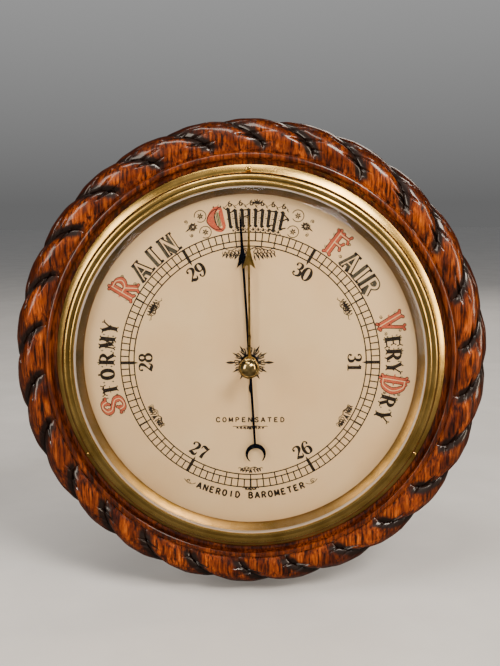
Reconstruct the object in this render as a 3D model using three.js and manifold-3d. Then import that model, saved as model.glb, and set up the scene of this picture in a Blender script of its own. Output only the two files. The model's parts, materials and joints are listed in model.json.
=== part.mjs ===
// A wall aneroid barometer: a turned oak case with a carved rope rim, a brass bezel with bevelled
// glass, an eight inch enamel dial, a blued hand, a brass set hand and the movement behind the dial.
//
// Millimetres, +Z up. The wall is the plane y = 0 and the dial faces -Y. The origin is the centre of
// the case's back. "Depth" below is a distance out from the wall, so a point at depth d has y = -d.

import * as THREE from 'three';
import { mergeVertices } from 'three/addons/utils/BufferGeometryUtils.js';
import Module from 'manifold-3d';

const wasm = await Module();
wasm.setup();

// ---- driving dimensions ----

const GAP = 0.3;                    // air left between pieces that touch
const RING_SIDES = 52;              // two facets for each of the rope's 26 strands
const SMALL_SIDES = 12;
const SCREW_SIDES = 8;

const FACE = 38;                    // depth of the wooden face under the dial and the bezel's seat
const REBATE = 35.3;                // depth of the rebate that the bezel's outer edge drops into
const REBATE_RADIUS = 110.6;
const SIDE_RADIUS = 136;
const ROPE_CENTRE = 131.2;          // radius and depth of the middle of the rope roll
const ROPE_DEPTH = 25.5;
const ROPE_ROLL = 13;
const MOULDING_OUTER = 124;
const BEZEL_RADIUS = 117.2;
const LIP_RADIUS = 104.5;
const CAVITY_RADIUS = 92;
const CAVITY_FLOOR = 8;

const DIAL_RADIUS = 106;
const DIAL_BACK = FACE + GAP;
const DIAL_FRONT = DIAL_BACK + 1.2;
const SIGHT_RADIUS = 99.9;          // where the dial disappears under the sight ring
const GLASS_RADIUS = 107.4;
const GLASS_BACK = 44.8;
const GLASS_EDGE = 46.3;            // front of the thin edge under the lip
const GLASS_FRONT = 49.3;
const GLASS_BEVEL = 5.6;

const HAND_ANGLE = -3.3;            // degrees clockwise from the top, a reading of about 29.44
const HAND_DEPTH = 41.2;
const HAND_THICK = 0.6;
const SET_HAND_DEPTH = 43.2;
const SET_HAND_THICK = 0.5;
const KNOB_RADIUS = 6;

const ARBOR_HOLE = 1.6;             // the arbor and the spindle turn in holes of about this radius
const SPINDLE_HOLE = 2.6;

const PLATE_RADIUS = 60;
const PLATE_BACK = CAVITY_FLOOR + GAP;
const PLATE_FRONT = PLATE_BACK + 2;
const MOVEMENT_LOW = PLATE_FRONT + GAP;
const CAPSULE_RADIUS = 26;
const CAPSULE_LID = MOVEMENT_LOW + 7;
const POCKET_DEPTH = 3.4;           // the stud enters the capsule's lid this far
const BRIDGE = { foot: 44, leg: 32.4, top: 20.6, thick: 2.4, low: -26, high: -12 };
const BEND = { z: -29, depth: 23.6, outer: 2.7, inner: 1.5 };
const LEAF_FRONT = BEND.depth + BEND.outer;
const LEVER = { reach: 41, thick: 1.5, wide: 9, narrow: 2.5 };
const STRAP = { back: 29.4, thick: 1.2, half: 38, pillar: 34 };
const COCK = { back: 34.8, thick: 1, half: 16, pillar: 13 };
const SHAFT = { z: 45, depth: 15.5, half: 14.5, radius: 1.7, pivot: 0.7, bore: 2 };
const ARM = { x: 7, length: 17.5, thick: 1.6 };
const CRANK_LENGTH = 4.5;
const ROLLER_RADIUS = 1.8;
const ROLLER_DEPTH = 32.1;
const HAIRSPRING = { depth: 33.6, turns: 3.5, inner: 2.9, outer: 7.5 };
const ADJUSTER = { x: 38, z: -19, head: 3, shank: 1.7, slot: 1 };
const HANGING = { z: 104, half: 20, rise: 12, thick: 1.6, screw: 14 };

// Head and shank radii, the height of the head, and the length under it.
const SCREWS = {
  bezel: { head: 1.9, rise: 1.3, shank: 1.0, length: 12.6 },
  dial: { head: 1.5, rise: 0.8, shank: 0.8, length: 7.8 },
  plate: { head: 3.0, rise: 1.8, shank: 1.5, length: 7.6 },
  bridge: { head: 3.0, rise: 1.8, shank: 1.3, length: 2 },
  spring: { head: 2.6, rise: 1.1, shank: 1.0, length: 4.2 },
  strap: { head: 2.2, rise: 1.2, shank: 1.0, length: 1.5 },
  cock: { head: 1.9, rise: 0.9, shank: 0.9, length: 1.3 },
  lever: { head: 2.4, rise: 0.6, shank: 1.0, length: 2.7 },
};

// ---- materials ----

const FINISHES = {
  oak: [0x7a3416, 0.35, 0],
  brass: [0xb8964a, 0.3, 1],
  gilt: [0xc9ac66, 0.35, 1],
  glass: [0xe8eeee, 0.05, 0],
  enamel: [0xdfd0b6, 0.3, 0],
  bluedSteel: [0x1c2230, 0.3, 1],
  steel: [0x9a9a98, 0.35, 1],
  iron: [0x3a3a3a, 0.6, 1],
  nickel: [0xb9b5a8, 0.3, 1],
};

const barometer = new THREE.Group();

function finish(name) {
  const [color, roughness, metalness] = FINISHES[name];
  const clear = name === 'glass';
  return new THREE.MeshStandardMaterial({
    color, roughness, metalness, transparent: clear, opacity: clear ? 0.35 : 1,
  });
}

function add(name, geometry, finishName, place = {}) {
  const mesh = new THREE.Mesh(geometry, finish(finishName));
  mesh.name = name;
  mesh.position.set(place.x ?? 0, 0, place.z ?? 0);
  mesh.rotation.y = THREE.MathUtils.degToRad(place.clockwise ?? 0);
  barometer.add(mesh);
  return mesh;
}

// ---- solids ----

// Merges shared vertices, drops faces with no area and turns the faces outwards.
function tidy(source) {
  const bare = source.clone();
  bare.deleteAttribute('normal');
  bare.deleteAttribute('uv');
  const merged = mergeVertices(bare, 1e-4);
  const points = merged.attributes.position;
  const index = merged.index.array;
  const faces = [];
  let volume = 0;
  const [a, b, c] = [new THREE.Vector3(), new THREE.Vector3(), new THREE.Vector3()];
  for (let i = 0; i < index.length; i += 3) {
    const [p, q, r] = index.slice(i, i + 3);
    if (p === q || q === r || r === p) continue;
    faces.push([p, q, r]);
    a.fromBufferAttribute(points, p);
    b.fromBufferAttribute(points, q);
    c.fromBufferAttribute(points, r);
    volume += a.dot(b.cross(c));
  }
  merged.setIndex(faces.flatMap(([p, q, r]) => (volume > 0 ? [p, q, r] : [p, r, q])));
  return merged;
}

function toManifold(geometry) {
  const closed = tidy(geometry);
  return new wasm.Manifold(new wasm.Mesh({
    numProp: 3,
    vertProperties: new Float32Array(closed.attributes.position.array),
    triVerts: new Uint32Array(closed.index.array),
  }));
}

function fromManifold(solid) {
  const mesh = solid.getMesh();
  const geometry = new THREE.BufferGeometry();
  geometry.setAttribute('position', new THREE.BufferAttribute(mesh.vertProperties, 3));
  geometry.setIndex(new THREE.BufferAttribute(mesh.triVerts, 1));
  return geometry;
}

function cut(geometry, cutters) {
  const whole = toManifold(geometry);
  return fromManifold(cutters.reduce((solid, cutter) => solid.subtract(toManifold(cutter)), whole));
}

// A turned piece: the profile is a list of [radius, depth], about the dial's axis.
function turned(profile, sides = SMALL_SIDES) {
  const onAxis = profile[0][0] === 0;
  const loop = onAxis ? profile : [...profile, profile[0]];
  const points = loop.map(([radius, depth]) => new THREE.Vector2(radius, -depth));
  return tidy(new THREE.LatheGeometry(points, sides));
}

function rod(radius, from, to, sides = SMALL_SIDES) {
  return turned([[0, from], [radius, from], [radius, to], [0, to]], sides);
}

function rodAt(x, z, radius, from, to) {
  return rod(radius, from, to).translate(x, 0, z);
}

// A flat piece lying parallel to the dial, with its outline in (x, z).
function sheet(outline, back, thickness) {
  const shape = new THREE.Shape(outline);
  const geometry = new THREE.ExtrudeGeometry(shape, { depth: thickness, bevelEnabled: false });
  return tidy(geometry.translate(0, 0, back).rotateX(Math.PI / 2));
}

// A piece with its outline in (z, depth), as wide as width and centred on x = 0.
function sideOutline(outline, width) {
  const shape = new THREE.Shape(outline);
  const geometry = new THREE.ExtrudeGeometry(shape, { depth: width, bevelEnabled: false });
  geometry.translate(0, 0, -width / 2);
  const axes = new THREE.Matrix4().makeBasis(
    new THREE.Vector3(0, 0, 1), new THREE.Vector3(0, -1, 0), new THREE.Vector3(1, 0, 0),
  );
  return tidy(geometry.applyMatrix4(axes));
}

// A piece with its outline in (x, depth), running from z = low to z = high.
function topOutline(outline, low, high) {
  const shape = new THREE.Shape(outline);
  const geometry = new THREE.ExtrudeGeometry(shape, { depth: high - low, bevelEnabled: false });
  const axes = new THREE.Matrix4().makeBasis(
    new THREE.Vector3(1, 0, 0), new THREE.Vector3(0, -1, 0), new THREE.Vector3(0, 0, -1),
  );
  return tidy(geometry.applyMatrix4(axes).translate(0, 0, high));
}

function points(pairs) {
  return pairs.map(([x, y]) => new THREE.Vector2(x, y));
}

function arc(x, y, radius, from, to, steps) {
  return Array.from({ length: steps + 1 }, (_, i) => {
    const angle = THREE.MathUtils.degToRad(from + ((to - from) * i) / steps);
    return [x + radius * Math.cos(angle), y + radius * Math.sin(angle)];
  });
}

// Places a number of pieces evenly round the dial, degrees clockwise from the top.
function round(radius, count, first = 0) {
  return Array.from({ length: count }, (_, i) => {
    const angle = THREE.MathUtils.degToRad(first + (360 * i) / count);
    return { x: radius * Math.sin(angle), z: radius * Math.cos(angle) };
  });
}

// A domed screw, with the back of its head at the given depth and its shank reaching back.
function screw(kind, headBack) {
  const { head, rise, shank, length } = SCREWS[kind];
  const tip = headBack - length;
  const crown = headBack + rise;
  return turned([
    [0, tip], [shank, tip + shank], [shank, headBack], [head, headBack],
    [head, headBack + rise * 0.4], [head * 0.6, crown], [0, crown],
  ], SCREW_SIDES);
}

// The cutter for a screw's hole, from one depth to another, at each of some places.
function screwHoles(kind, places, from, to) {
  return places.map(({ x, z }) => rodAt(x, z, SCREWS[kind].shank + GAP, from, to));
}

function pair(half, z = 0) {
  return [{ x: -half, z }, { x: half, z }];
}

const BEZEL_SCREWS = round(114, 3);
const DIAL_SCREWS = round(104.2, 3, 60);
const PLATE_SCREWS = round(54, 3);
const SPRING_SCREWS = pair(8, -18);
const LEVER_SCREW = { x: 0, z: 10 };

// ---- the oak case ----

function oakCase() {
  const rope = arc(ROPE_CENTRE, ROPE_DEPTH, ROPE_ROLL, -62, 122, 10);
  const chamfer = [[SIDE_RADIUS - 5, 0], [SIDE_RADIUS - 1.5, 1.2], [SIDE_RADIUS, 4]];
  const moulding = [
    [MOULDING_OUTER, FACE - 1.5], [MOULDING_OUTER - 0.6, FACE + 0.6],
    [MOULDING_OUTER - 3.6, FACE + 0.6], [MOULDING_OUTER - 4.4, REBATE + 0.6],
    [BEZEL_RADIUS + 0.6, REBATE], [REBATE_RADIUS, REBATE], [REBATE_RADIUS, FACE],
  ];
  const cavity = [[CAVITY_RADIUS, FACE], [CAVITY_RADIUS, CAVITY_FLOOR], [0, CAVITY_FLOOR]];
  const side = [[0, 0], ...chamfer, [SIDE_RADIUS, ROPE_DEPTH - ROPE_ROLL]];
  const body = turned([...side, ...rope, ...moulding, ...cavity], RING_SIDES);
  const front = FACE + 5;
  return cut(body, [
    ...screwHoles('bezel', BEZEL_SCREWS, FACE - 12, front),
    ...screwHoles('dial', DIAL_SCREWS, FACE - 7, front),
    ...screwHoles('plate', PLATE_SCREWS, 2.4, CAVITY_FLOOR + 1),
    ...screwHoles('bezel', pair(HANGING.screw, HANGING.z), 1, 7.2),
    rodAt(ADJUSTER.x, ADJUSTER.z, ADJUSTER.head + 1, -1, CAVITY_FLOOR + 1),
    sheet(plateOutline(GAP), -1, 1 + HANGING.thick + GAP),
    sheet(keyhole(2.2), -1, 7.4),
  ]);
}

// ---- the hanging plate, let in flush at the back ----

function plateOutline(grow) {
  const [end, half] = [HANGING.half + grow, HANGING.rise + grow];
  const [low, high] = [HANGING.z - half, HANGING.z + half];
  return points([[-end, low], [end, low], [end, high], [-end, high]]);
}

// A round entry with a slot rising from it.
function keyhole(grow = 0) {
  const [entry, slot] = [4.5 + grow, 2.4 + grow];
  const top = HANGING.z + 6.5;
  const cap = top + slot * 0.8;
  return points([
    ...arc(0, HANGING.z - 3, entry, 122 - 2 * grow, 418 + 2 * grow, 12),
    [slot, top], [slot * 0.6, cap], [-slot * 0.6, cap], [-slot, top],
  ]);
}

function hangingPlate() {
  return cut(sheet(plateOutline(0), 0, HANGING.thick), [
    sheet(keyhole(), -1, 4),
    ...pair(HANGING.screw, HANGING.z).map(({ x, z }) => rodAt(x, z, 2.6, -1, 3)),
  ]);
}

function hangingScrew() {
  return turned([[0, 0.2], [2.3, 0.2], [1.0, 1.6], [1.0, 5.4], [0, 6.4]], SCREW_SIDES);
}

// ---- the bezel, the sight ring and the glass ----

function brassBezel() {
  const back = FACE + GAP;
  const inner = GLASS_RADIUS + 0.5;
  const bead = arc(108.8, 43.6, 3.4, -30, 100, 4);
  const ring = turned([
    [inner, back], [REBATE_RADIUS + GAP, back], [REBATE_RADIUS + GAP, REBATE + GAP],
    [BEZEL_RADIUS, REBATE + GAP], [BEZEL_RADIUS, REBATE + 1.5],
    [BEZEL_RADIUS - 5.4, back + 1.3], [BEZEL_RADIUS - 6.0, back + 0.8],
    ...bead,
    [LIP_RADIUS + 1.2, GLASS_EDGE + 1.4], [LIP_RADIUS, GLASS_EDGE + 0.9],
    [LIP_RADIUS, GLASS_EDGE + GAP], [inner, GLASS_EDGE + GAP],
  ], RING_SIDES);
  return cut(ring, screwHoles('bezel', BEZEL_SCREWS, FACE - 5, FACE + 10));
}

function sightRing() {
  const low = DIAL_FRONT + GAP;
  const flange = GLASS_BACK - 1.2;
  const high = GLASS_BACK - GAP;
  return turned([
    [SIGHT_RADIUS, low], [SIGHT_RADIUS + 0.9, low], [LIP_RADIUS + 0.7, flange],
    [GLASS_RADIUS, flange], [GLASS_RADIUS, high], [LIP_RADIUS - 0.3, high],
  ], RING_SIDES);
}

function bevelledGlass() {
  return turned([
    [SPINDLE_HOLE, GLASS_BACK], [GLASS_RADIUS, GLASS_BACK], [GLASS_RADIUS, GLASS_EDGE],
    [LIP_RADIUS - 0.3, GLASS_EDGE], [LIP_RADIUS - GLASS_BEVEL, GLASS_FRONT], [SPINDLE_HOLE, GLASS_FRONT],
  ], RING_SIDES);
}

// ---- the dial and the hands ----

function enamelDial() {
  const disc = turned([
    [ARBOR_HOLE, DIAL_BACK], [DIAL_RADIUS, DIAL_BACK], [DIAL_RADIUS, DIAL_FRONT], [ARBOR_HOLE, DIAL_FRONT],
  ], RING_SIDES);
  return cut(disc, screwHoles('dial', DIAL_SCREWS, FACE - 5, FACE + 5));
}

// A slim hand with a barbed head. Its tail, where it has one, ends in an open crescent.
function handOutline(hasTail) {
  const tip = hasTail ? 90 : 87.6;
  const head = [[0.7, 59.4], [3.9, 57], [2.2, 62.3], [1.1, 67.4], [0.7, 76], [0.2, tip]];
  const right = [[0.85, 6], ...head];
  const left = right.map(([x, z]) => [-x, z]).reverse();
  if (!hasTail) return points([...right, ...left, ...arc(0, 0, 4.4, 110, 430, 10)]);
  const boss = (from, to) => arc(0, 0, 5.6, from, to, 5);
  const moon = { z: -56, outer: 6.2, inner: 4.7, drop: 1.3 };
  const tail = [
    ...arc(0, moon.z, moon.outer, 97, 232, 7),
    ...arc(0, moon.z - moon.drop, moon.inner, 232, -52, 12),
    ...arc(0, moon.z, moon.outer, -52, 83, 7),
  ];
  return points([...right, ...left, ...boss(98, 262), ...tail, ...boss(278, 442)]);
}

function pointerHand() {
  return cut(sheet(handOutline(true), HAND_DEPTH, HAND_THICK), [rod(ARBOR_HOLE, FACE, GLASS_BACK)]);
}

function setHand() {
  return cut(sheet(handOutline(false), SET_HAND_DEPTH, SET_HAND_THICK), [rod(ARBOR_HOLE, FACE, GLASS_BACK)]);
}

// ---- the movement's fixed parts ----

function movementPlate() {
  const disc = turned([
    [0, PLATE_BACK], [PLATE_RADIUS, PLATE_BACK], [PLATE_RADIUS, PLATE_FRONT], [0, PLATE_FRONT],
  ], 36);
  return cut(disc, [
    ...screwHoles('plate', PLATE_SCREWS, PLATE_BACK - 1, PLATE_FRONT + 1),
    rodAt(ADJUSTER.x, ADJUSTER.z, ADJUSTER.shank + 0.5, PLATE_BACK - 1, PLATE_FRONT + 1),
  ]);
}

// The capsule's corrugations are rings pressed into its lid, round a pocket for the stud.
function vacuumCapsule() {
  const [ridge, valley, pocket] = [CAPSULE_LID - 0.2, CAPSULE_LID - 1.2, CAPSULE_LID - POCKET_DEPTH];
  const ripples = [22, 19, 16, 13, 10, 7].map((radius, i) => [radius, i % 2 ? valley : ridge]);
  return turned([
    [0, MOVEMENT_LOW], [CAPSULE_RADIUS, MOVEMENT_LOW], [CAPSULE_RADIUS, MOVEMENT_LOW + 2],
    [CAPSULE_RADIUS - 1.5, valley], ...ripples,
    [5, CAPSULE_LID], [2.8, CAPSULE_LID], [2.8, pocket], [0, pocket],
  ], 24);
}

function springBridge() {
  const { foot, leg, top, thick, low, high } = BRIDGE;
  const flange = MOVEMENT_LOW + 2;
  const inside = leg - thick;
  const right = [
    [inside, top - thick], [inside, MOVEMENT_LOW], [foot, MOVEMENT_LOW],
    [foot, flange], [leg, flange], [leg, top],
  ];
  const left = right.map(([x, depth]) => [-x, depth]).reverse();
  return cut(topOutline(points([...right, ...left]), low, high), [
    ...screwHoles('bridge', [{ x: -ADJUSTER.x, z: ADJUSTER.z }], PLATE_BACK, flange + 1),
    rodAt(ADJUSTER.x, ADJUSTER.z, ADJUSTER.shank + 0.5, PLATE_BACK, flange + 1),
    ...screwHoles('spring', SPRING_SCREWS, top - thick - 1, top + 1),
  ]);
}

// A flat brass strap parallel to the dial, with screws at its pillars and a hole for the arbor.
function strap({ back, thick, half }, rise, arborHole, screws) {
  const outline = points([[-half, -rise], [half, -rise], [half, rise], [-half, rise]]);
  const [under, over] = [back - 1, back + thick + 1];
  return cut(sheet(outline, back, thick), [
    rod(arborHole, under, over),
    ...screws.flatMap(([kind, places]) => screwHoles(kind, places, under, over)),
  ]);
}

function arborBridge() {
  return strap(STRAP, 5, 0.9, [['strap', pair(STRAP.pillar)], ['cock', pair(COCK.pillar)]]);
}

function arborCock() {
  return strap(COCK, 3.5, ARBOR_HOLE, [['cock', pair(COCK.pillar)]]);
}

// A bore along x through the rocking shaft's axis.
function shaftBore(radius, z) {
  return rod(radius, -5, 5).rotateZ(Math.PI / 2).translate(0, -SHAFT.depth, z);
}

function shaftCock() {
  const [half, low, top] = [2, MOVEMENT_LOW, SHAFT.depth + 3];
  const block = topOutline(points([[-half, low], [half, low], [half, top], [-half, top]]), -4, 4);
  return cut(block, [shaftBore(SHAFT.pivot + 0.4, 0)]);
}

// A flat spiral from the collet out to the stud, between the arbor bridge and its cock.
class Spiral extends THREE.Curve {
  getPoint(t, target = new THREE.Vector3()) {
    const angle = t * HAIRSPRING.turns * 2 * Math.PI;
    const radius = THREE.MathUtils.lerp(HAIRSPRING.inner, HAIRSPRING.outer, t);
    return target.set(radius * Math.cos(angle), -HAIRSPRING.depth, radius * Math.sin(angle));
  }
}

// A bar of small rectangular section along a path.
function bar(path, width, height, steps) {
  const [x, y] = [width / 2, height / 2];
  const section = new THREE.Shape(points([[-x, -y], [x, -y], [x, y], [-x, y]]));
  return tidy(new THREE.ExtrudeGeometry(section, { steps, extrudePath: path, bevelEnabled: false }));
}

// ---- the movement's moving parts ----

function mainSpring() {
  const { z, depth, outer, inner } = BEND;
  const [clamped, free] = [-12, 15];
  const outline = points([
    [clamped, depth - outer], ...arc(z, depth, outer, 270, 90, 8), [free, depth + outer],
    [free, depth + inner], ...arc(z, depth, inner, 90, 270, 8), [clamped, depth - inner],
  ]);
  return cut(sideOutline(outline, 24), [
    rod(2, depth, LEAF_FRONT + 1),
    ...screwHoles('lever', [LEVER_SCREW], depth, LEAF_FRONT + 1),
    ...screwHoles('spring', SPRING_SCREWS, BRIDGE.top - 1, depth),
  ]);
}

function mainLever() {
  const { reach, thick, wide, narrow } = LEVER;
  const back = LEAF_FRONT + GAP;
  const right = [[wide, 5.5], [wide, 14], [narrow, 26], [narrow, reach + 2]];
  const left = right.map(([x, z]) => [-x, z]).reverse();
  return cut(sheet(points([...right, ...left]), back, thick), [
    ...screwHoles('lever', [LEVER_SCREW], back - 1, back + thick + 1),
    rodAt(0, reach, 1, back - 1, back + thick + 1),
  ]);
}

function crankArm() {
  const tip = SHAFT.z - CRANK_LENGTH - 2;
  const arm = sideOutline(points([
    [tip, SHAFT.depth - 1], [SHAFT.z + 3, SHAFT.depth - 3],
    [SHAFT.z + 3, SHAFT.depth + 3], [tip, SHAFT.depth + 1],
  ]), 4);
  return cut(arm, [shaftBore(SHAFT.bore, SHAFT.z)]);
}

function chainArm() {
  const tip = SHAFT.depth + ARM.length + 1.4;
  const arm = sideOutline(points([
    [SHAFT.z - 3, SHAFT.depth - 3], [SHAFT.z + 3, SHAFT.depth - 3], [SHAFT.z + 1, tip], [SHAFT.z - 1, tip],
  ]), ARM.thick);
  return cut(arm, [shaftBore(SHAFT.bore, SHAFT.z)]).translate(ARM.x, 0, 0);
}

function rockingShaft() {
  const { half, radius, pivot } = SHAFT;
  const end = half + 4;
  const right = [[0, end], [pivot, end], [pivot, half], [radius, half]];
  const left = right.map(([r, x]) => [r, -x]).reverse();
  return turned([...right, ...left]).rotateZ(Math.PI / 2).translate(0, -SHAFT.depth, SHAFT.z);
}

// The fine chain runs from the roller on the arbor to the tip of its arm.
function fineChain() {
  const depth = -(SHAFT.depth + ARM.length);
  const start = new THREE.Vector3(ROLLER_RADIUS + 0.7, depth, 0);
  const end = new THREE.Vector3(ARM.x, depth, SHAFT.z - 1.8);
  return bar(new THREE.LineCurve3(start, end), 0.6, 0.5, 1);
}

// The arbor's roller is the waist between two small flanges.
function pointerArbor() {
  const [pivot, stem, flange] = [0.6, 1.1, ROLLER_RADIUS + 0.4];
  const top = HAND_DEPTH + 1;
  return turned([
    [0, STRAP.back - 0.5], [pivot, STRAP.back - 0.5], [pivot, ROLLER_DEPTH - 1.2], [flange, ROLLER_DEPTH - 1],
    [ROLLER_RADIUS, ROLLER_DEPTH - 0.5], [ROLLER_RADIUS, ROLLER_DEPTH + 0.5], [flange, ROLLER_DEPTH + 0.8],
    [stem, ROLLER_DEPTH + 0.9], [stem, top], [0, top + 0.2],
  ]);
}

function setKnob() {
  const neck = 2.8;
  return turned([
    [0, 50.2], [4, 50.2], [4, 51], [neck, 52.5], [neck, 54.5], [KNOB_RADIUS, 56.6], [KNOB_RADIUS, 58.6],
    [KNOB_RADIUS - 1, 59.4], [KNOB_RADIUS - 1.6, 59.2], [3, 61.2], [0, 62],
  ], 20);
}

function setSpindle() {
  const [stem, shoulder] = [1.3, 2.2];
  const step = GLASS_BACK - 0.6;
  const top = GLASS_FRONT + 0.6;
  return turned([[0, 42.9], [stem, 42.9], [stem, step], [shoulder, step], [shoulder, top], [0, top]]);
}

// Turned from the back with a screwdriver: its slotted head sits in a hole in the case.
function adjustingScrew() {
  const { head, shank, slot } = ADJUSTER;
  const [back, shoulder, tip] = [3, 7.4, 14.4];
  const body = turned([
    [0, back], [head, back], [head, shoulder], [shank, shoulder], [shank, tip - 0.8], [0, tip],
  ]);
  const groove = new THREE.BoxGeometry(3 * head, 2.4, slot).translate(0, -back, 0);
  return cut(body, [groove]);
}

// ---- the assembly ----

function addCase() {
  add('oak_case', oakCase(), 'oak');
  add('hanging_plate', hangingPlate(), 'brass');
  addPair('hanging_plate_screw', hangingScrew, 'brass', HANGING.screw, HANGING.z);
}

// Adds the left and the right one of a piece.
function addPair(name, make, finishName, half, z = 0) {
  const [left, right] = pair(half, z);
  add(`${name}_left`, make(), finishName, left);
  add(`${name}_right`, make(), finishName, right);
}

function addRound(kind, headBack, places, finishName) {
  places.forEach((at, i) => add(`${kind}_screw_${i + 1}`, screw(kind, headBack), finishName, at));
}

function addFront() {
  add('brass_bezel', brassBezel(), 'brass');
  addRound('bezel', FACE + 1.4, BEZEL_SCREWS, 'brass');
  add('bevelled_glass', bevelledGlass(), 'glass');
  add('sight_ring', sightRing(), 'gilt');
  add('enamel_dial', enamelDial(), 'enamel');
  addRound('dial', DIAL_FRONT + GAP, DIAL_SCREWS, 'brass');
}

function addFixedMovement() {
  add('movement_plate', movementPlate(), 'brass');
  addRound('plate', MOVEMENT_LOW, PLATE_SCREWS, 'steel');
  add('vacuum_capsule', vacuumCapsule(), 'nickel');
  add('spring_bridge', springBridge(), 'iron');
  add('bridge_screw', screw('bridge', MOVEMENT_LOW + 2 + GAP), 'steel', { x: -ADJUSTER.x, z: ADJUSTER.z });
  const leaf = BEND.depth - BEND.inner;
  addPair('spring_screw', () => screw('spring', leaf + 0.5), 'steel', SPRING_SCREWS[1].x, SPRING_SCREWS[1].z);
  addPair('arbor_pillar', () => rod(2.5, MOVEMENT_LOW, STRAP.back - GAP), 'brass', STRAP.pillar);
  const strapTop = STRAP.back + STRAP.thick + GAP;
  addPair('arbor_bridge_screw', () => screw('strap', strapTop), 'steel', STRAP.pillar);
  add('arbor_bridge', arborBridge(), 'brass');
  addPair('cock_pillar', () => rod(1.8, strapTop, COCK.back - GAP), 'brass', COCK.pillar);
  addPair('cock_screw', () => screw('cock', COCK.back + COCK.thick + GAP), 'steel', COCK.pillar);
  add('arbor_cock', arborCock(), 'brass');
  addPair('shaft_cock', shaftCock, 'brass', SHAFT.half + 2.7, SHAFT.z);
  add('hairspring', bar(new Spiral(), 0.3, 0.6, 42), 'bluedSteel');
  add('hairspring_stud', rodAt(HAIRSPRING.outer + 1.5, 0, 0.7, 33, COCK.back - GAP), 'brass');
}

function addMovingMovement() {
  add('main_spring', mainSpring(), 'bluedSteel');
  add('main_lever', mainLever(), 'steel');
  add('lever_screw', screw('lever', LEAF_FRONT + LEVER.thick + 2 * GAP), 'steel', LEVER_SCREW);
  add('capsule_stud', rod(1.5, CAPSULE_LID - POCKET_DEPTH + 1, LEAF_FRONT + 1.6), 'steel');
  const [collarBack, collarFront] = [LEAF_FRONT + GAP, LEAF_FRONT + 1.7];
  const collar = [[1.8, collarBack], [3.4, collarBack], [3.4, collarFront], [1.8, collarFront]];
  add('stud_collar', turned(collar), 'brass');
  add('lever_link', rod(0.6, SHAFT.depth + 2.4, LEAF_FRONT + 2.4, SCREW_SIDES), 'steel', { z: LEVER.reach });
  add('rocking_shaft', rockingShaft(), 'steel');
  add('crank_arm', crankArm(), 'brass');
  add('chain_arm', chainArm(), 'brass');
  add('fine_chain', fineChain(), 'steel');
  add('adjusting_screw', adjustingScrew(), 'steel', ADJUSTER);
}

function addHands() {
  add('pointer_arbor', pointerArbor(), 'steel');
  const [colletBack, colletFront] = [33.2, 34.2];
  const collet = [[1.4, colletBack], [2.4, colletBack], [2.4, colletFront], [1.4, colletFront]];
  add('hairspring_collet', turned(collet), 'brass');
  add('pointer_hand', pointerHand(), 'bluedSteel', { clockwise: HAND_ANGLE });
  add('set_hand', setHand(), 'brass');
  add('set_spindle', setSpindle(), 'brass');
  add('set_knob', setKnob(), 'brass');
}

addCase();
addFront();
addFixedMovement();
addMovingMovement();
addHands();

export default barometer;
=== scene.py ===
# %% [markdown]
# A wall aneroid barometer: a turned oak case carved round its rim as a rope, a lacquered brass
# bezel with bevelled glass, an enamel dial with a printed scale, and two hands. The moving frame,
# with the movement behind the dial, comes ready made. This lesson builds the visible pieces round it.

# %% Load the frame
import json
import math
import random

import bmesh
import bpy
import numpy as np
from mathutils import Matrix, Vector


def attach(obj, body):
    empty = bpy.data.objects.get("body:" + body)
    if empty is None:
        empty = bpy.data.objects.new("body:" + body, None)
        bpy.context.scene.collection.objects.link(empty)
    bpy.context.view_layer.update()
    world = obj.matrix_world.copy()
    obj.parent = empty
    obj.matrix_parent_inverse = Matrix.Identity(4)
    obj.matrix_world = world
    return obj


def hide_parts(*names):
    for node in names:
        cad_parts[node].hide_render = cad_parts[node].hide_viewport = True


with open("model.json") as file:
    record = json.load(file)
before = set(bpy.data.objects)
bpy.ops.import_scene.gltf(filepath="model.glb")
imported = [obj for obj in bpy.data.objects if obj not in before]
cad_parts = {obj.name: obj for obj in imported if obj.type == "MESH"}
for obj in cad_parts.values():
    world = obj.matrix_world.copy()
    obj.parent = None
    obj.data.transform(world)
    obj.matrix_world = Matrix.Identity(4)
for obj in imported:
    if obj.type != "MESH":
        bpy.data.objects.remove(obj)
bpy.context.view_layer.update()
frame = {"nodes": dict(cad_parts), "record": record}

# %% [markdown]
# The dial faces -Y and the wall is the plane y = 0, so a place on the barometer is easiest to give
# as a maker would: how far from the dial's centre, how many degrees clockwise from the top, and how
# far out from the wall. Everything below is in millimetres until it becomes a vertex.

# %% Places round the dial
MM = 0.001
DIAL_FRONT = 39.5            # depth of the enamel's surface, out from the wall


def at(radius, clockwise, depth):
    """A vertex at this radius in mm, degrees clockwise from the top, and depth in mm."""
    angle = math.radians(clockwise)
    return (radius * math.sin(angle) * MM, -depth * MM, radius * math.cos(angle) * MM)


def on_dial(x, z, depth=DIAL_FRONT):
    """A vertex x mm right of the dial's centre and z mm above it."""
    return (x * MM, -depth * MM, z * MM)


print("the top of the dial's edge:", at(106, 0, DIAL_FRONT))

# %% [markdown]
# The camera looks from a little above the barometer's centre, close enough for the far rim to look
# smaller. The lens is a normal one. Depth of field stays off, so that the carving and the small
# print are both sharp.

# %% Camera
EYE = Vector((12.5, -540.7, 94.1)) * MM
LOOK_DOWN, LOOK_LEFT, ROLL = (math.radians(a) for a in (8.64, 1.40, -0.41))


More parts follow.
